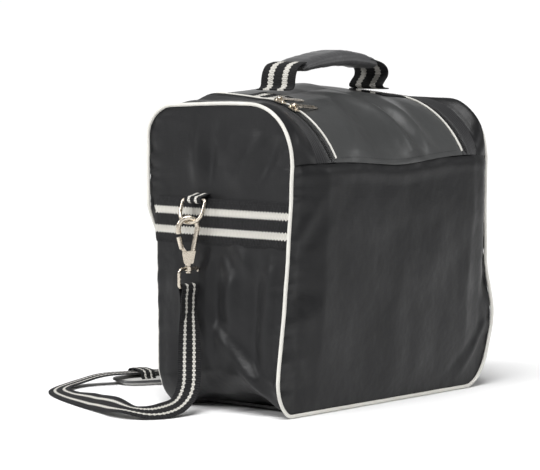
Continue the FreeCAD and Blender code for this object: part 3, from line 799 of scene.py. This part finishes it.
# Folds of the ends by distance from the middle, rows as in folds().
LEFT_END = [(4.6, -19, 0, 10, 118, 46), (-4.8, 4, 0, 8, 118, 46), (-4.4, -49, 0, 8, 118, 46),
            (3.8, -72, 0, 9, 118, 46), (3.0, 42, 0, 14, 118, 46), (2.6, -34, -0.5, 8, 165, 18),
            (-2.4, -14, -0.5, 8, 165, 18), (2.0, 62, 0, 10, 165, 18), (3.6, 38, 0, 9, 272, 26),
            (-3.2, 18, 0, 8, 272, 26), (3.9, -36.8, 0.4, 12, 272, 26),
            (-3.6, -63, 0.5, 9, 272, 26)]
RIGHT_END = [(2.0, 30, 0, 13, 118, 46), (-2.1, -8, 0, 12, 118, 46), (1.6, -45, 0, 12, 118, 46)]


def end_folds(side, y, z, from_front, from_rear, middle):
    """Height of the slack cloth on an end panel."""
    gap = min(from_front, from_rear)
    free = min(1.0, gap / 26.0, max(0.0, 330 - z) / 24.0, (z + 6) / 30.0)
    band = bell(max(0.0, abs(z - BAND_Z) - 25), 22)
    value = free * (3.0 * drift(y / 58, z / 95, side * 4 + 1.5)
                    + 1.9 * drift(y / 26, z / 44, side * 3 + 9.0)
                    + 0.35 * drift(y / 12, z / 17, side + 3.3)) * (1 - 0.75 * band)
    value += 3.0 * middle * math.sin(math.pi * min(1.0, z / 330.0)) * (1 - 0.6 * band)
    value += folds(y, z, LEFT_END if side < 0 else RIGHT_END)
    if side < 0:
        away, place = crease_line(y, z)
        if place > -0.4:
            strength = min(1.0, max(0.0, place + 0.35)) * bell(max(0.0, place - 0.9), 0.35)
            drop = math.exp(-max(0.0, away) / 34.0) / (1 + math.exp(-away / 5.0))
            value += strength * (4.2 * bell(away + 6, 8) - 11.0 * drop) * min(1.0, gap / 12.0)
    value += puckers(z, from_front, 14.0, 12.0, 2.0, 21.0 + side)
    value += puckers(z, from_rear, 12.0, 12.0, 1.8, 25.0 + side)
    return value - 1.2 * math.exp(-gap / 5.0)


def make_body():
    """Panels of the bag itself."""
    front = upright_panel(False)
    rear = upright_panel(True)
    ends, bottom = base_and_ends()
    for name, grid, inward, node in (
            ("front_skin", front, (0, 1, 0), "front_panel"),
            ("rear_skin", rear, (0, -1, 0), "rear_panel"),
            ("base_skin", bottom, (0, 0, 1), "bottom_panel"),
            ("left_end_skin", ends[-1], (1, 0, 0), "left_side_panel"),
            ("right_end_skin", ends[1], (-1, 0, 0), "right_side_panel")):
        made = shell(name, grid, inward, "fabric")
        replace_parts(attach(made, "bag"), node)
    return front, ends


def over_top(x, first, last, count):
    """Points of the skin over the top at one x, from one t to another, evenly spaced."""
    return spaced([skin(x, t) for t in np.linspace(first, last, 4 * count)], count)


def make_shoulders():
    """The panels between the zip and each end."""
    inner, outer = 141.0, 172.0
    rows, columns = 84, 22
    width, length = 46.0, 290.0
    for side, label in SIDES:
        grid = np.zeros((rows, columns, 3))
        depth = np.zeros((rows, columns))
        arch = end_arch(side, rows)
        for c in range(columns):
            u = c / (columns - 1)
            x = side * (inner + (outer - inner) * u)
            line = over_top(x, front_t(x, seam_height(x)), rear_t(x, REAR_SEAM), rows)
            weight = u ** (3 if side < 0 else 6)
            for r in range(rows):
                grid[r, c] = line[r] * (1 - weight) + arch[r] * weight
                grid[r, c, 0] = side * inner * (1 - u) + arch[r][0] * u
                x, y, z = grid[r, c]
                place = r / (rows - 1)
                ends = min(1.0, place / 0.12, (1 - place) / 0.12)
                if side < 0:
                    value = 2.4 * math.sin(math.pi * u) * ends
                else:
                    value = (4.5 * bell(u - 0.62, 0.3) - 3.0 * bell(u - 0.12, 0.12)) * ends
                value += ends * min(1.0, 3 * u, 3 * (1 - u)) * 1.5 * drift(
                    x / 26, y / 34, z / 34 + side)
                value += puckers(place * length, (1 - u) * width, 15.0, 9.0, 1.0, 31.0 + side)
                value += puckers(place * length, u * width, 19.0, 8.0, 0.6, 35.0 + side)
                depth[r, c] = value - 1.1 * math.exp(-(1 - u) * width / 5.0)
        grid = rounded(displaced(grid, (0.15 * side, 0, 1), depth))
        made = shell(label + "_shoulder_skin", grid, (-0.15 * side, 0, -1), "fabric")
        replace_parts(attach(made, "bag"), label + "_shoulder_panel")


def end_arch(side, count):
    """The end seam over the arch, from the front seam to the rear seam."""
    x = side * END_X
    fine = []
    for t in np.linspace(front_t(x, SEAM), rear_t(x, REAR_SEAM), 4 * count):
        _, y, z = skin(x, t)
        fine.append((side * edge_x(side, z), y, z))
    return spaced(fine, count)


def make_piping():
    """The off-white cord in the main seam, one closed loop."""
    stand = 0.9
    radius = 2.0
    loop = []
    for side in (-1, 1):
        front, rear = ([(side * (x + stand), seam_y(side, z)[k] + out * stand, max(z, 2.4))
                        for x, z in EDGE_PATHS[side]] for k, out in ((0, -1), (1, 1)))
        arch = [(x + side * stand, y, z + stand) for x, y, z in end_arch(side, 90)[3:-3]]
        loop += (front + arch + rear[::-1])[::-side]
    loop = spaced(loop + [loop[0]], 900)[:-1]
    wobbled = []
    for x, y, z in loop:
        shift = 0.9 * drift(x / 34, y / 34, z / 34)
        wobbled.append((x + shift * 0.5, y + shift * 0.6 * (1 if y > 0 else -1), max(z, 2.35)))
    line = rounded(wobbled)
    weights = np.array([1, 2, 3, 2, 1]) / 9.0
    line = sum(weight * np.roll(line, k - 2, axis=0) for k, weight in enumerate(weights))
    radii = [radius + 0.12 * drift(x / 9, y / 9, z / 9) for x, y, z in line]
    cord = tube("seam_cord", line, radii, "piping", closed=True)
    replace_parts(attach(cord, "bag"), "seam_piping")


# --- lid and zip --------------------------------------------------------------------------
LID_HALF = 112.0
LID_REAR = 290.0
LID_LENGTH = 360.0
ZIP_STEPS = 96
TAPE = 1.1
# The lid's folds run from the handle's right foot to the front seam. A row is (height of the
# fold, place of its middle, lean, half width).
LID_FOLDS = [(7.02, 6, 0.55, 12), (-6.48, 26, 0.5, 11), (5.4, 45, 0.2, 12), (-3.78, -34, 0, 16),
             (4.05, -60, -0.4, 15), (-3.24, 74, 0, 12)]


def lid_folds(x, y, place):
    """Height of the lid's slack cloth, place being the share of its length from the front."""
    value = 1.5 * drift(x / 60, y / 48, 6.6) + 0.5 * drift(x / 22, y / 24, 2.2)
    return value + bell(place - 0.2, 0.17) * sum(
        size * bell(x - at + lean * (y + 75), width) for size, at, lean, width in LID_FOLDS)


def make_lid():
    """Lid panel, from the front seam over the top to the zip behind."""
    columns, rows = 90, 120
    grid = np.zeros((rows, columns, 3))
    depth = np.zeros((rows, columns))
    for c in range(columns):
        x = -LID_HALF + 2 * LID_HALF * c / (columns - 1)
        gap = LID_HALF - abs(x)
        grid[:, c] = over_top(x, front_t(x, seam_height(x) + 0.8), rear_t(x, LID_REAR), rows)
        for r in range(rows):
            y = grid[r, c, 1]
            place = r / (rows - 1)
            edge = min(1.0, gap / 12.0, place / 0.05, (1 - place) / 0.06)
            foot = bell(y, 34) * bell(max(0.0, 97 - abs(x)), 26)
            value = edge * lid_folds(x, y, place) * (1 - 0.9 * foot)
            value += edge * puckers(place * LID_LENGTH, gap, 24.0, 10.0, 0.5, 41.0)
            depth[r, c] = value - 0.8 * math.exp(-place * LID_LENGTH / 4.0)
    grid = displaced(grid, (0, 0, 1), depth)
    # The lid wears the painted lit copy of the nylon.
    lid = shell("lid_skin", grid, (0, 0, -1), "lid_fabric")
    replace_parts(lid, "lid_panel")
    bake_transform(lid)
    return grid


def zip_path(x, rear_z, gap):
    """Up the front and over to the rear at -x, across the rear, and back at x."""
    left, right = (over_top(at, front_t(at, seam_height(at) + gap), rear_t(at, rear_z), ZIP_STEPS)
                   for at in (-x, x))
    across = [skin(at, rear_t(at, rear_z)) for at in np.linspace(-x, x, 64)[1:-1]]
    return np.concatenate([left, across, right[::-1]])


def zip_outward(points):
    """Roughly outward directions on the top and rear of the bag."""
    return unit((points - np.array([0.0, 0.0, ARC_HEIGHT])) * (0, 1, 1))


def zip_side(path):
    """Directions along the skin across the zip, from the lid towards the bag."""
    return unit(np.cross(line_frame(path)[0], zip_outward(path)))


def make_zip():
    """Tapes, teeth and the lid's edge trim."""
    for name, node, body, x, rear_z in (("lid_tape", "zip_tape_lid", "lid", 115.2, 286.8),
                                        ("body_tape_rear", "zip_tape_body", "bag", 122.8, 279.2)):
        path = zip_path(x, rear_z, 0.6)
        path = path - zip_outward(path) * 0.7
        tape = ribbon(name, path, zip_side(path), 6.4, TAPE, "tape", 10)
        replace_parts(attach(tape, body), node)
    for side, label in SIDES:
        rows = []
        for x in side * np.linspace(121.0, 143.0, 12):
            line = over_top(x, front_t(x, seam_height(x) + 0.6), rear_t(x, REAR_SEAM + 0.4),
                            ZIP_STEPS)
            rows.append(line - zip_outward(line) * 0.5)
        over = rounded(np.array(rows).transpose(1, 0, 2))
        tape = slab("body_tape_" + label, over, over - zip_outward(over) * TAPE, "tape")
        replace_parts(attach(tape, "bag"), "zip_tape_body")
    for name, node, body, x, rear_z, lean in (
            ("lid_teeth", "zip_coil_lid", "lid", 117.7, 284.4, -1.0),
            ("body_teeth", "zip_coil_body", "bag", 120.3, 281.6, 1.0)):
        teeth = make_teeth(name, zip_path(x, rear_z, 4.5), lean)
        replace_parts(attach(teeth, body), node)
    path = zip_path(LID_HALF - 0.9, LID_REAR + 0.9, 4.6)
    trim = tube("lid_trim", path + zip_outward(path) * 0.7, 1.25, "piping")
    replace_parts(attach(trim, "lid"), "lid_piping")


def make_teeth(name, path, lean):
    """One side of a zip's coil: a row of small loops on a sewn cord."""
    pitch = 2.0
    marks = spaced(path, int(line_frame(path)[1][-1] / pitch))
    points = []
    faces = []
    ring = [(-1.15, 0.1), (-0.4, 1.25), (0.75, 1.3), (1.25, 0.5), (0.9, -0.15), (-0.7, -0.2)]
    rings = ((-0.62, 0.72), (-0.2, 1.0), (0.2, 1.0), (0.62, 0.72))
    for place, up, across, ahead in zip(marks, zip_outward(marks), zip_side(marks),
                                        line_frame(marks)[0]):
        faces += ring_faces(len(ring), len(rings), len(points))
        for step, grow in rings:
            for a, b in ring:
                points.append(place + ahead * step - across * lean * a * grow + up * b * grow)
    return add_mesh(name, points, faces, "coil", smooth_angle=70.0)


# --- bands, tabs and handle ---------------------------------------------------------------
def surface_line(grid, height):
    """Points across an end panel's grid at one height, from front to rear."""
    line = []
    for column in grid.transpose(1, 0, 2):
        column = column[np.argsort(column[:, 2])]
        line.append([np.interp(height, column[:, 2], column[:, k]) for k in range(3)])
    return np.array(line)


def make_bands(ends):
    """Striped webbing sewn round each end panel, and the tab that holds each ring."""
    steps = 15
    for side, label in SIDES:
        rows = [spaced(surface_line(ends[side], z), 120)
                for z in np.linspace(BAND_Z - BAND_WIDTH / 2, BAND_Z + BAND_WIDTH / 2, steps)]
        inner = np.array(rows).transpose(1, 0, 2)
        outer = inner.copy()
        outer[:, :, 0] = inner[:, :, 0].mean(axis=1, keepdims=True) * 0.6 + inner[:, :, 0] * 0.4
        wave = np.array([0.35 * math.sin(y / 9.0) * bell(abs(y) - 60, 40) for y in inner[:, 0, 1]])
        bulge = (1 - np.abs(np.linspace(-1, 1, steps)) ** 6) * 1.2 + 0.7
        outer[:, :, 0] += side * (bulge[None, :] + wave[:, None])
        inner[:, :, 0] -= side * 0.8
        made = slab(label + "_band", outer, inner, "wide_webbing")
        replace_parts(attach(made, "bag"), label + "_side_band")
        lines = [outer[:, k] + (side * 0.1, 0, 0) for k in (1, steps - 2)]
        sewn = stitches(label + "_band_stitches", lines, (side, 0, 0), 3.0, 0.35)
        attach(sewn, "bag")
        make_tab(side, label)


RING_Y = 30.0
RING_BAR = (188.5, 229.0)


def bend(x, z, radius, first, last):
    """Points every 20 degrees round a bar, from one angle down to another."""
    return [(x + radius * math.cos(math.radians(degrees)),
             z + radius * math.sin(math.radians(degrees)))
            for degrees in range(first, last - 1, -20)]


def make_tab(side, label):
    """A short loop of striped webbing round the ring's bar, sewn to the end."""
    x, z = RING_BAR
    path = [(x - 14.5, z + 6.2), (x - 9, z + 5.4), (x - 3.5, z + 3.9)]
    path += bend(x, z, 3.35, 70, -90)
    path += [(x - 4.5, z - 3.3), (x - 11.0, z - 3.4)]
    line = curved([(side * a, RING_Y, b) for a, b in path], 60)
    tab = ribbon(label + "_tab", line, (0, side, 0), 23.6, 1.5, "wide_webbing", 14)
    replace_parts(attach(tab, "bag"), label + "_ring_tab")


LEFT_LEG = [(-94, 346.2), (-89.5, 347.0), (-86.5, 350.5), (-85.5, 358), (-83, 366), (-77, 372.6),
            (-66, 375.6)]
RIGHT_LEG = [(78, 345.0), (70, 346.0), (66.5, 348.8), (70.5, 354), (76, 360.0), (75.5, 367.0),
             (68, 373.0), (54, 377), (44, 378)]


def make_handle(lid_grid):
    """Webbing feet on the lid, the legs, and the padded grip between them."""
    foot_end = 109.0
    half = BAND_WIDTH / 2 - 0.5
    for side, label, inner in ((-1, "left", 86.0), (1, "right", 66.0)):
        under = np.array([[lid_point(lid_grid, side * x, y) for y in np.linspace(-half, half, 15)]
                          for x in np.linspace(foot_end, inner, 16)])
        normals = grid_normals(under, (0, 0, 1))
        thick = (2.1 - 0.9 * np.abs(np.linspace(-1, 1, 15)) ** 6)[None, :, None]
        made = slab("handle_foot_" + label + "_webbing", under + normals * thick,
                    under - normals * 0.6, "wide_webbing")
        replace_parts(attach(made, "lid"), "handle_foot_" + label)
        top = under + normals * 2.1
        corners = [top[2, 2], top[2, 12], top[12, 12], top[12, 2]]
        lines = [np.linspace(a, b, 40) for a, b in zip(corners, corners[1:] + corners[:1])]
        lines += [np.linspace(corners[k], corners[k + 2], 50) for k in (0, 1)]
        lines = [[lid_point(lid_grid, *p[:2]) + (0, 0, 2.2) for p in line] for line in lines]
        sewn = stitches("handle_stitches_" + label, lines, UP, 3.0, 0.35)
        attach(sewn, "lid")
    for side, label, points in ((-1, "left", LEFT_LEG), (1, "right", RIGHT_LEG)):
        leg = ribbon("handle_leg_" + label + "_webbing", curved([(x, 0, z) for x, z in points], 60),
                     (0, side, 0), 2 * half, 2.0, "wide_webbing", 16)
        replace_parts(leg, "handle_leg_" + label)
        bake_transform(leg)
    make_grip()


def lid_point(grid, x, y):
    """The lid's surface over one place."""
    columns = grid[grid.shape[0] // 2, :, 0]
    c = float(np.interp(x, columns, np.arange(len(columns))))
    low = int(min(c, len(columns) - 2))
    line = grid[:, low] * (1 - (c - low)) + grid[:, low + 1] * (c - low)
    return np.array([x, y, np.interp(y, line[:, 1], line[:, 2])])


def make_grip():
    """The padded grip: cloth wrapped round the webbing, lapped along its front."""
    sides, count = 40, 90
    half_width = 24.2
    top = curved([(-71, 0, 371), (-66, 0, 375.8), (-48, 0, 381), (-21, 0, 386), (5, 0, 389),
                  (33, 0, 386), (45, 0, 383.4), (56, 0, 379.6), (60.5, 0, 375.5)], count)
    under = curved([(-69.5, 0, 366), (-55, 0, 366.5), (-36, 0, 369), (5, 0, 371.5),
                    (38, 0, 370.5), (54, 0, 368.2), (59.5, 0, 369.5)], count)
    points = []
    for place, high, low in zip(np.linspace(0, 1, count), top, under):
        gap = min(place, 1 - place)
        ends = min(1.0, gap / 0.04)
        half = half_width - 2.2 * (1 - ends)
        wrinkled = 0.9 * (bell(place - 0.03, 0.03) + bell(place - 0.97, 0.03))
        for k in range(sides):
            angle = 2 * math.pi * k / sides
            c, s = math.cos(angle), math.sin(angle)
            across, lift = squared(angle, 0.55, 0.75)
            point = (high + low) / 2 + (high - low) / 2 * lift * (0.86 + 0.14 * ends)
            point[1] = across * half
            ripple = 0.6 * drift(place * 22, c * 1.2, s * 1.2) + 0.35 * drift(place * 60, c, s + 4)
            crush = wrinkled * drift(angle * 3.0, 5.5)
            outward = np.array([0.0, c * 0.7, s])
            point += outward * (ripple + crush) * min(1.0, gap / 0.02)
            lap = bell(angle - 3.55, 0.10)
            points.append(point + outward * 0.9 * (0.5 - lap) * (1 if c < -0.2 else 0))
    uv = np.stack(np.meshgrid(np.arange(sides) / sides * 0.12, np.linspace(0, 0.18, count)), axis=2)
    # The grip wears the painted lit copy of the nylon.
    grip = add_mesh("handle_grip", points, ring_faces(sides, count), "painted_lit_grip_nylon",
                    uv.reshape(-1, 2), 60.0)
    grip.data.flip_normals()
    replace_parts(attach(grip, "handle"), "handle_grip_cover", "handle_grip_core")


# --- shoulder strap -----------------------------------------------------------------------
LEFT_ROUTE = [
    (-197.5, 30, 117), (-203, 24, 66), (-212, 17, 14), (-260, 18, 5), (-280, 46, 10),
    (-263, 92, 10), (-245, 141, 6), (-225, 187, 4), (-203, 228, 3), (-176, 252, 2.5),
    (-142, 258, 5), (-115, 247, 12), (-88, 231, 12.6), (-45, 213, 12.6), (0, 197, 12.6),
    (45, 180, 12.6), (78, 165, 12.2), (102, 155, 5.5), (126, 149, 3.4),
]
RIGHT_ROUTE = [
    (150, 147, 3.4), (182, 142, 1.6), (214, 125, 2.4), (239, 97, 3.5), (249, 62, 4),
    (241, 28, 5), (219, 18, 15), (203, 27, 62), (197.5, 30, 117),
]
STRAP = 25.0
EYE_TURN = math.radians(2.0)


def spline_points(name, route, count):
    """Points along the smooth NURBS line that a route controls, in millimetres."""
    curve = bpy.data.curves.new(name, "CURVE")
    curve.dimensions = "3D"
    curve.resolution_u = 24
    spline = curve.splines.new("NURBS")
    spline.points.add(len(route) - 1)
    for point, place in zip(spline.points, route):
        point.co = (*(MM * value for value in place), 1.0)
    spline.order_u = 3
    spline.use_endpoint_u = True
    helper = bpy.data.objects.new(name, curve)
    mesh = bpy.data.meshes.new_from_object(helper)
    line = np.array([tuple(v.co) for v in mesh.vertices]) / MM
    bpy.data.objects.remove(helper)
    bpy.data.meshes.remove(mesh)
    return spaced(line, count)


def strap_across(line, side, tilts):
    """Which way the strap's width points. Hanging it turns from the eye's direction to that of
    the floor; on the floor it lies flat but for tilts in degrees, given as (x, y, tilt) marks."""
    tangents, length = line_frame(line)
    marks = sorted((length[np.argmin(np.linalg.norm(line[:, :2] - (x, y), axis=1))], tilt)
                   for x, y, tilt in tilts)
    degrees = np.interp(length, *zip(*marks))
    across = []
    for point, tangent, tilt in zip(line, tangents, np.radians(degrees)):
        flat = unit(np.cross(UP, tangent) + 1e-6)
        lying = flat * math.cos(tilt) + UP * math.sin(tilt)
        turn = EYE_TURN + np.clip((112.0 - point[2]) / 55.0, 0, 1) * math.radians(44.0)
        upright = np.array([math.cos(turn), side * math.sin(turn), 0.0])
        if np.dot(upright, flat) < 0:
            upright = -upright
        share = smooth_step(abs(tangent[2]), 0.45, 0.9)
        across.append(unit(lying * (1 - share) + upright * share))
    across = np.array(across)
    for _ in range(12):
        across[1:-1] = unit(across[:-2] + 2 * across[1:-1] + across[2:])
    return across


LEFT_TILTS = [(-215, 20, -12), (-246, 18, -31), (-266, 24, -24), (-278, 46, -6), (-268, 80, -36),
              (-246, 138, -30), (-225, 187, -16), (-200, 230, -9), (-160, 255, -6),
              (-120, 248, 0), (0, 197, 0), (126, 149, 0)]
RIGHT_TILTS = [(150, 147, 0), (214, 125, 6), (249, 62, 10), (225, 20, 10)]


def make_strap():
    """Both lengths of the shoulder strap. The left part lies as it does in the photograph."""
    made = []
    for name, node, body, route, count, side, tilts in (
            ("strap_long_webbing", "strap_long", "left_ring", LEFT_ROUTE, 420, -1, LEFT_TILTS),
            ("strap_short_webbing", "strap_short", "right_ring", RIGHT_ROUTE, 200, 1,
             RIGHT_TILTS)):
        line = spline_points(name, route, count)
        line[:, 2] = np.maximum(line[:, 2], 1.1)
        across = strap_across(line, side, tilts)
        raised = np.abs(across[:, 2]) * STRAP / 2 + 1.0
        on_floor = np.abs(line_frame(line)[0][:, 2]) < 0.5
        line[:, 2] = np.where(on_floor, np.maximum(line[:, 2], raised), line[:, 2])
        strap = ribbon(name, line, across, STRAP, 1.6, "strap_webbing", 10)
        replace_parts(strap, node)
        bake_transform(strap)
        made.append((strap, line))
    return made


def make_strap_ends():
    """The sewn fold of the strap round each eye's lower bar."""
    reach = RING_BAR[0] + 26.0 * math.sin(math.radians(20.3))
    loop = ([(-1.0, 99.0), (-1.0, 108.0), (-1.1, 119.0), (-1.3, 125.0), (-2.5, 131.0)]
            + bend(0.0, 135.5, 2.95, 160, 0)
            + [(2.3, 131.0), (1.2, 125.0), (0.9, 119.0), (0.9, 117.0)])
    for side, label in SIDES:
        across = np.array([math.cos(EYE_TURN), side * math.sin(EYE_TURN), 0.0])
        behind = np.array([-across[1], across[0], 0.0])
        centre = np.array([side * reach, RING_Y, 0.0])
        line = curved([centre + behind * a + UP * b for a, b in loop], 80)
        fold = ribbon(label + "_strap_fold", line, across, STRAP, 1.5, "strap_webbing", 10)
        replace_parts(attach(fold, label + "_ring"), label + "_strap_end")
        rows = [np.array([centre + UP * z + across * a - behind * 2.0
                          for a in np.linspace(-11, 11, 12)]) for z in (104.0, 112.0, 119.0)]
        sewn = stitches(label + "_fold_stitches", rows, -behind, 2.8, 0.3)
        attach(sewn, label + "_ring")


PAD_HALF_LENGTH = 90.0
PAD_HALF_WIDTH = 28.0
PAD_AT = np.array([-16.0, 203.0, 0.0])
PAD_TURN = math.radians(-20.5)
PAD_AHEAD = np.array([math.cos(PAD_TURN), math.sin(PAD_TURN), 0.0])


def pad_place(points):
    """From the pad's own directions to the bag's."""
    return PAD_AT + np.asarray(points, float) @ np.array([PAD_AHEAD, np.cross(UP, PAD_AHEAD), UP])


def pad_outline(angle, grow=0.0):
    """A point of the pad's rounded outline."""
    x, y = squared(angle, 0.42, 0.5)
    return x * (PAD_HALF_LENGTH + grow), y * (PAD_HALF_WIDTH + grow)


def make_pad():
    """Shoulder pad: a soft quilted slab with bound edges, and the keepers over the strap."""
    rings, around = 22, 120
    middle = 4.9
    points = []
    uv = []
    for upper in (True, False):
        for r in range(rings + 1):
            share = math.sin(0.5 * math.pi * r / rings)
            crown = (1 - share ** 5) ** 0.6
            for k in range(around):
                x, y = (share * value for value in pad_outline(2 * math.pi * k / around))
                edge = max(abs(x) / PAD_HALF_LENGTH, abs(y) / PAD_HALF_WIDTH)
                channel = sum(bell(abs(y) - at, 1.8) for at in (10.5, 21.5)) * (1 - edge ** 8)
                puff = 4.1 * crown - 1.2 * channel * crown + 0.3 * drift(x / 14, y / 12, 3.3)
                sink = (4.6 - 0.4 * (1 - crown)) * min(1, 3 * crown)
                points.append((x, y, max(middle + puff if upper else middle - sink, 0.35)))
                uv.append((x * MM, y * MM))
    size = (rings + 1) * around
    faces = []
    for layer, order in ((0, -1), (size, 1)):
        for r in range(rings):
            for k in range(around):
                a, b = (layer + r * around + i for i in (k, (k + 1) % around))
                faces.append((a, b, b + around, a + around)[::order])
    for k in range(around):
        a, b = rings * around + k, rings * around + (k + 1) % around
        faces.append((b, a, size + a, size + b))
    pad = add_mesh("shoulder_pad_quilt", pad_place(points), faces, "pad_cloth", uv, 60.0)
    weld(pad)
    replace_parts(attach(pad, "bag"), "shoulder_pad")
    outline = [(*pad_outline(2 * math.pi * k / 200, 0.2), middle - 0.1) for k in range(200)]
    outline = spaced(outline + [outline[0]], 400)[:-1]
    # The binding wears the grip's painted lit copy of the nylon.
    edge = tube("shoulder_pad_binding", pad_place(outline), 1.6, "painted_lit_grip_nylon", True, 8)
    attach(edge, "bag")
    half = [(-21, 7.4), (-18.6, 9.2), (-17.4, 13.2), (-13, 15.9)]
    arch = half + [(0, 16.6)] + [(-y, z) for y, z in half[::-1]]
    keepers = []
    for name, x in (("pad_keeper_a", -60.0), ("pad_keeper_b", 55.0)):
        line = pad_place(curved([(x, y, z) for y, z in arch], 60))
        keeper = ribbon(name, line, PAD_AHEAD, 18.0, 1.3, "strap_webbing", 8)
        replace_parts(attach(keeper, "bag"), "pad_keepers")
        keepers.append(keeper)
    return [pad, edge] + keepers


def weld(made):
    """Join points that share a place, and drop faces with no area."""
    work = bmesh.new()
    work.from_mesh(made.data)
    bmesh.ops.remove_doubles(work, verts=work.verts, dist=1e-5)
    bmesh.ops.dissolve_degenerate(work, edges=work.edges, dist=1e-6)
    bmesh.ops.recalc_face_normals(work, faces=work.faces)
    work.to_mesh(made.data)
    work.free()


def make_loops():
    """The strap's turns round the adjuster's bars."""
    made = []
    start, end = np.array(LEFT_ROUTE[-1], float), np.array(RIGHT_ROUTE[0], float)
    ahead = unit(end - start)
    side = unit(np.cross(UP, ahead))
    for name, origin, forward in (("adjuster_loop_long", start, ahead),
                                  ("adjuster_loop_short", end, -ahead)):
        path = [(-7.0, 3.4), (-3.0, 4.0), (1.5, 5.0), (4.4, 4.9), (6.0, 2.9), (4.2, 1.0),
                (1.0, 0.9), (-8.0, 1.0), (-20.0, 1.0)]
        line = curved([origin * (1, 1, 0) + forward * a + UP * b for a, b in path], 50)
        loop = ribbon(name, line, side, STRAP, 1.3, "strap_webbing", 8)
        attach(loop, "bag")
        made.append(loop)
    return made


# --- metal and the rest -------------------------------------------------------------------
def finish_cad_nodes():
    """Better materials for the CAD nodes that stay."""
    kept = {"metal": ["zip_slider_front", "zip_slider_rear", "zip_pull_front", "zip_pull_rear"],
            "board": ["base_board"], "buckle": ["strap_adjuster"]}
    for label in ("left_", "right_"):
        for name in ("d_ring", "hook_body", "hook_gate", "gate_spring", "hook_rivet",
                     "swivel_pin", "swivel_eye"):
            kept["metal"].append(label + name)
    for material, names in kept.items():
        for name in names:
            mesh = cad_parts[name].data
            if not mesh.materials:
                mesh.materials.append(None)
            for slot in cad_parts[name].material_slots:
                slot.material = MATERIALS[material]


def make_seam_stitches(front, lid_grid):
    """A row of stitches on each side of the front seam."""
    rows = [front[-1][6:-6] + (0, -0.25, -2.2)]
    sewn = stitches("front_seam_stitches", rows, (0, -1, 0), 2.8, 0.4)
    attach(sewn, "bag")
    rows = [lid_grid[2][4:-4] + (0, -0.5, 1.2)]
    sewn = stitches("lid_seam_stitches", rows, (0, -0.9, 0.45), 2.8, 0.4)
    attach(sewn, "bag")


make_stage()
(long_strap, long_line), (short_strap, short_line) = make_strap()
make_strap_ends()
long_loop, short_loop = make_loops()
pad_pieces = make_pad()
finish_cad_nodes()
front_grid, end_grids = make_body()
make_shoulders()
make_piping()
lid_surface = make_lid()
make_zip()
make_bands(end_grids)
make_handle(lid_surface)
make_seam_stitches(front_grid, lid_surface)
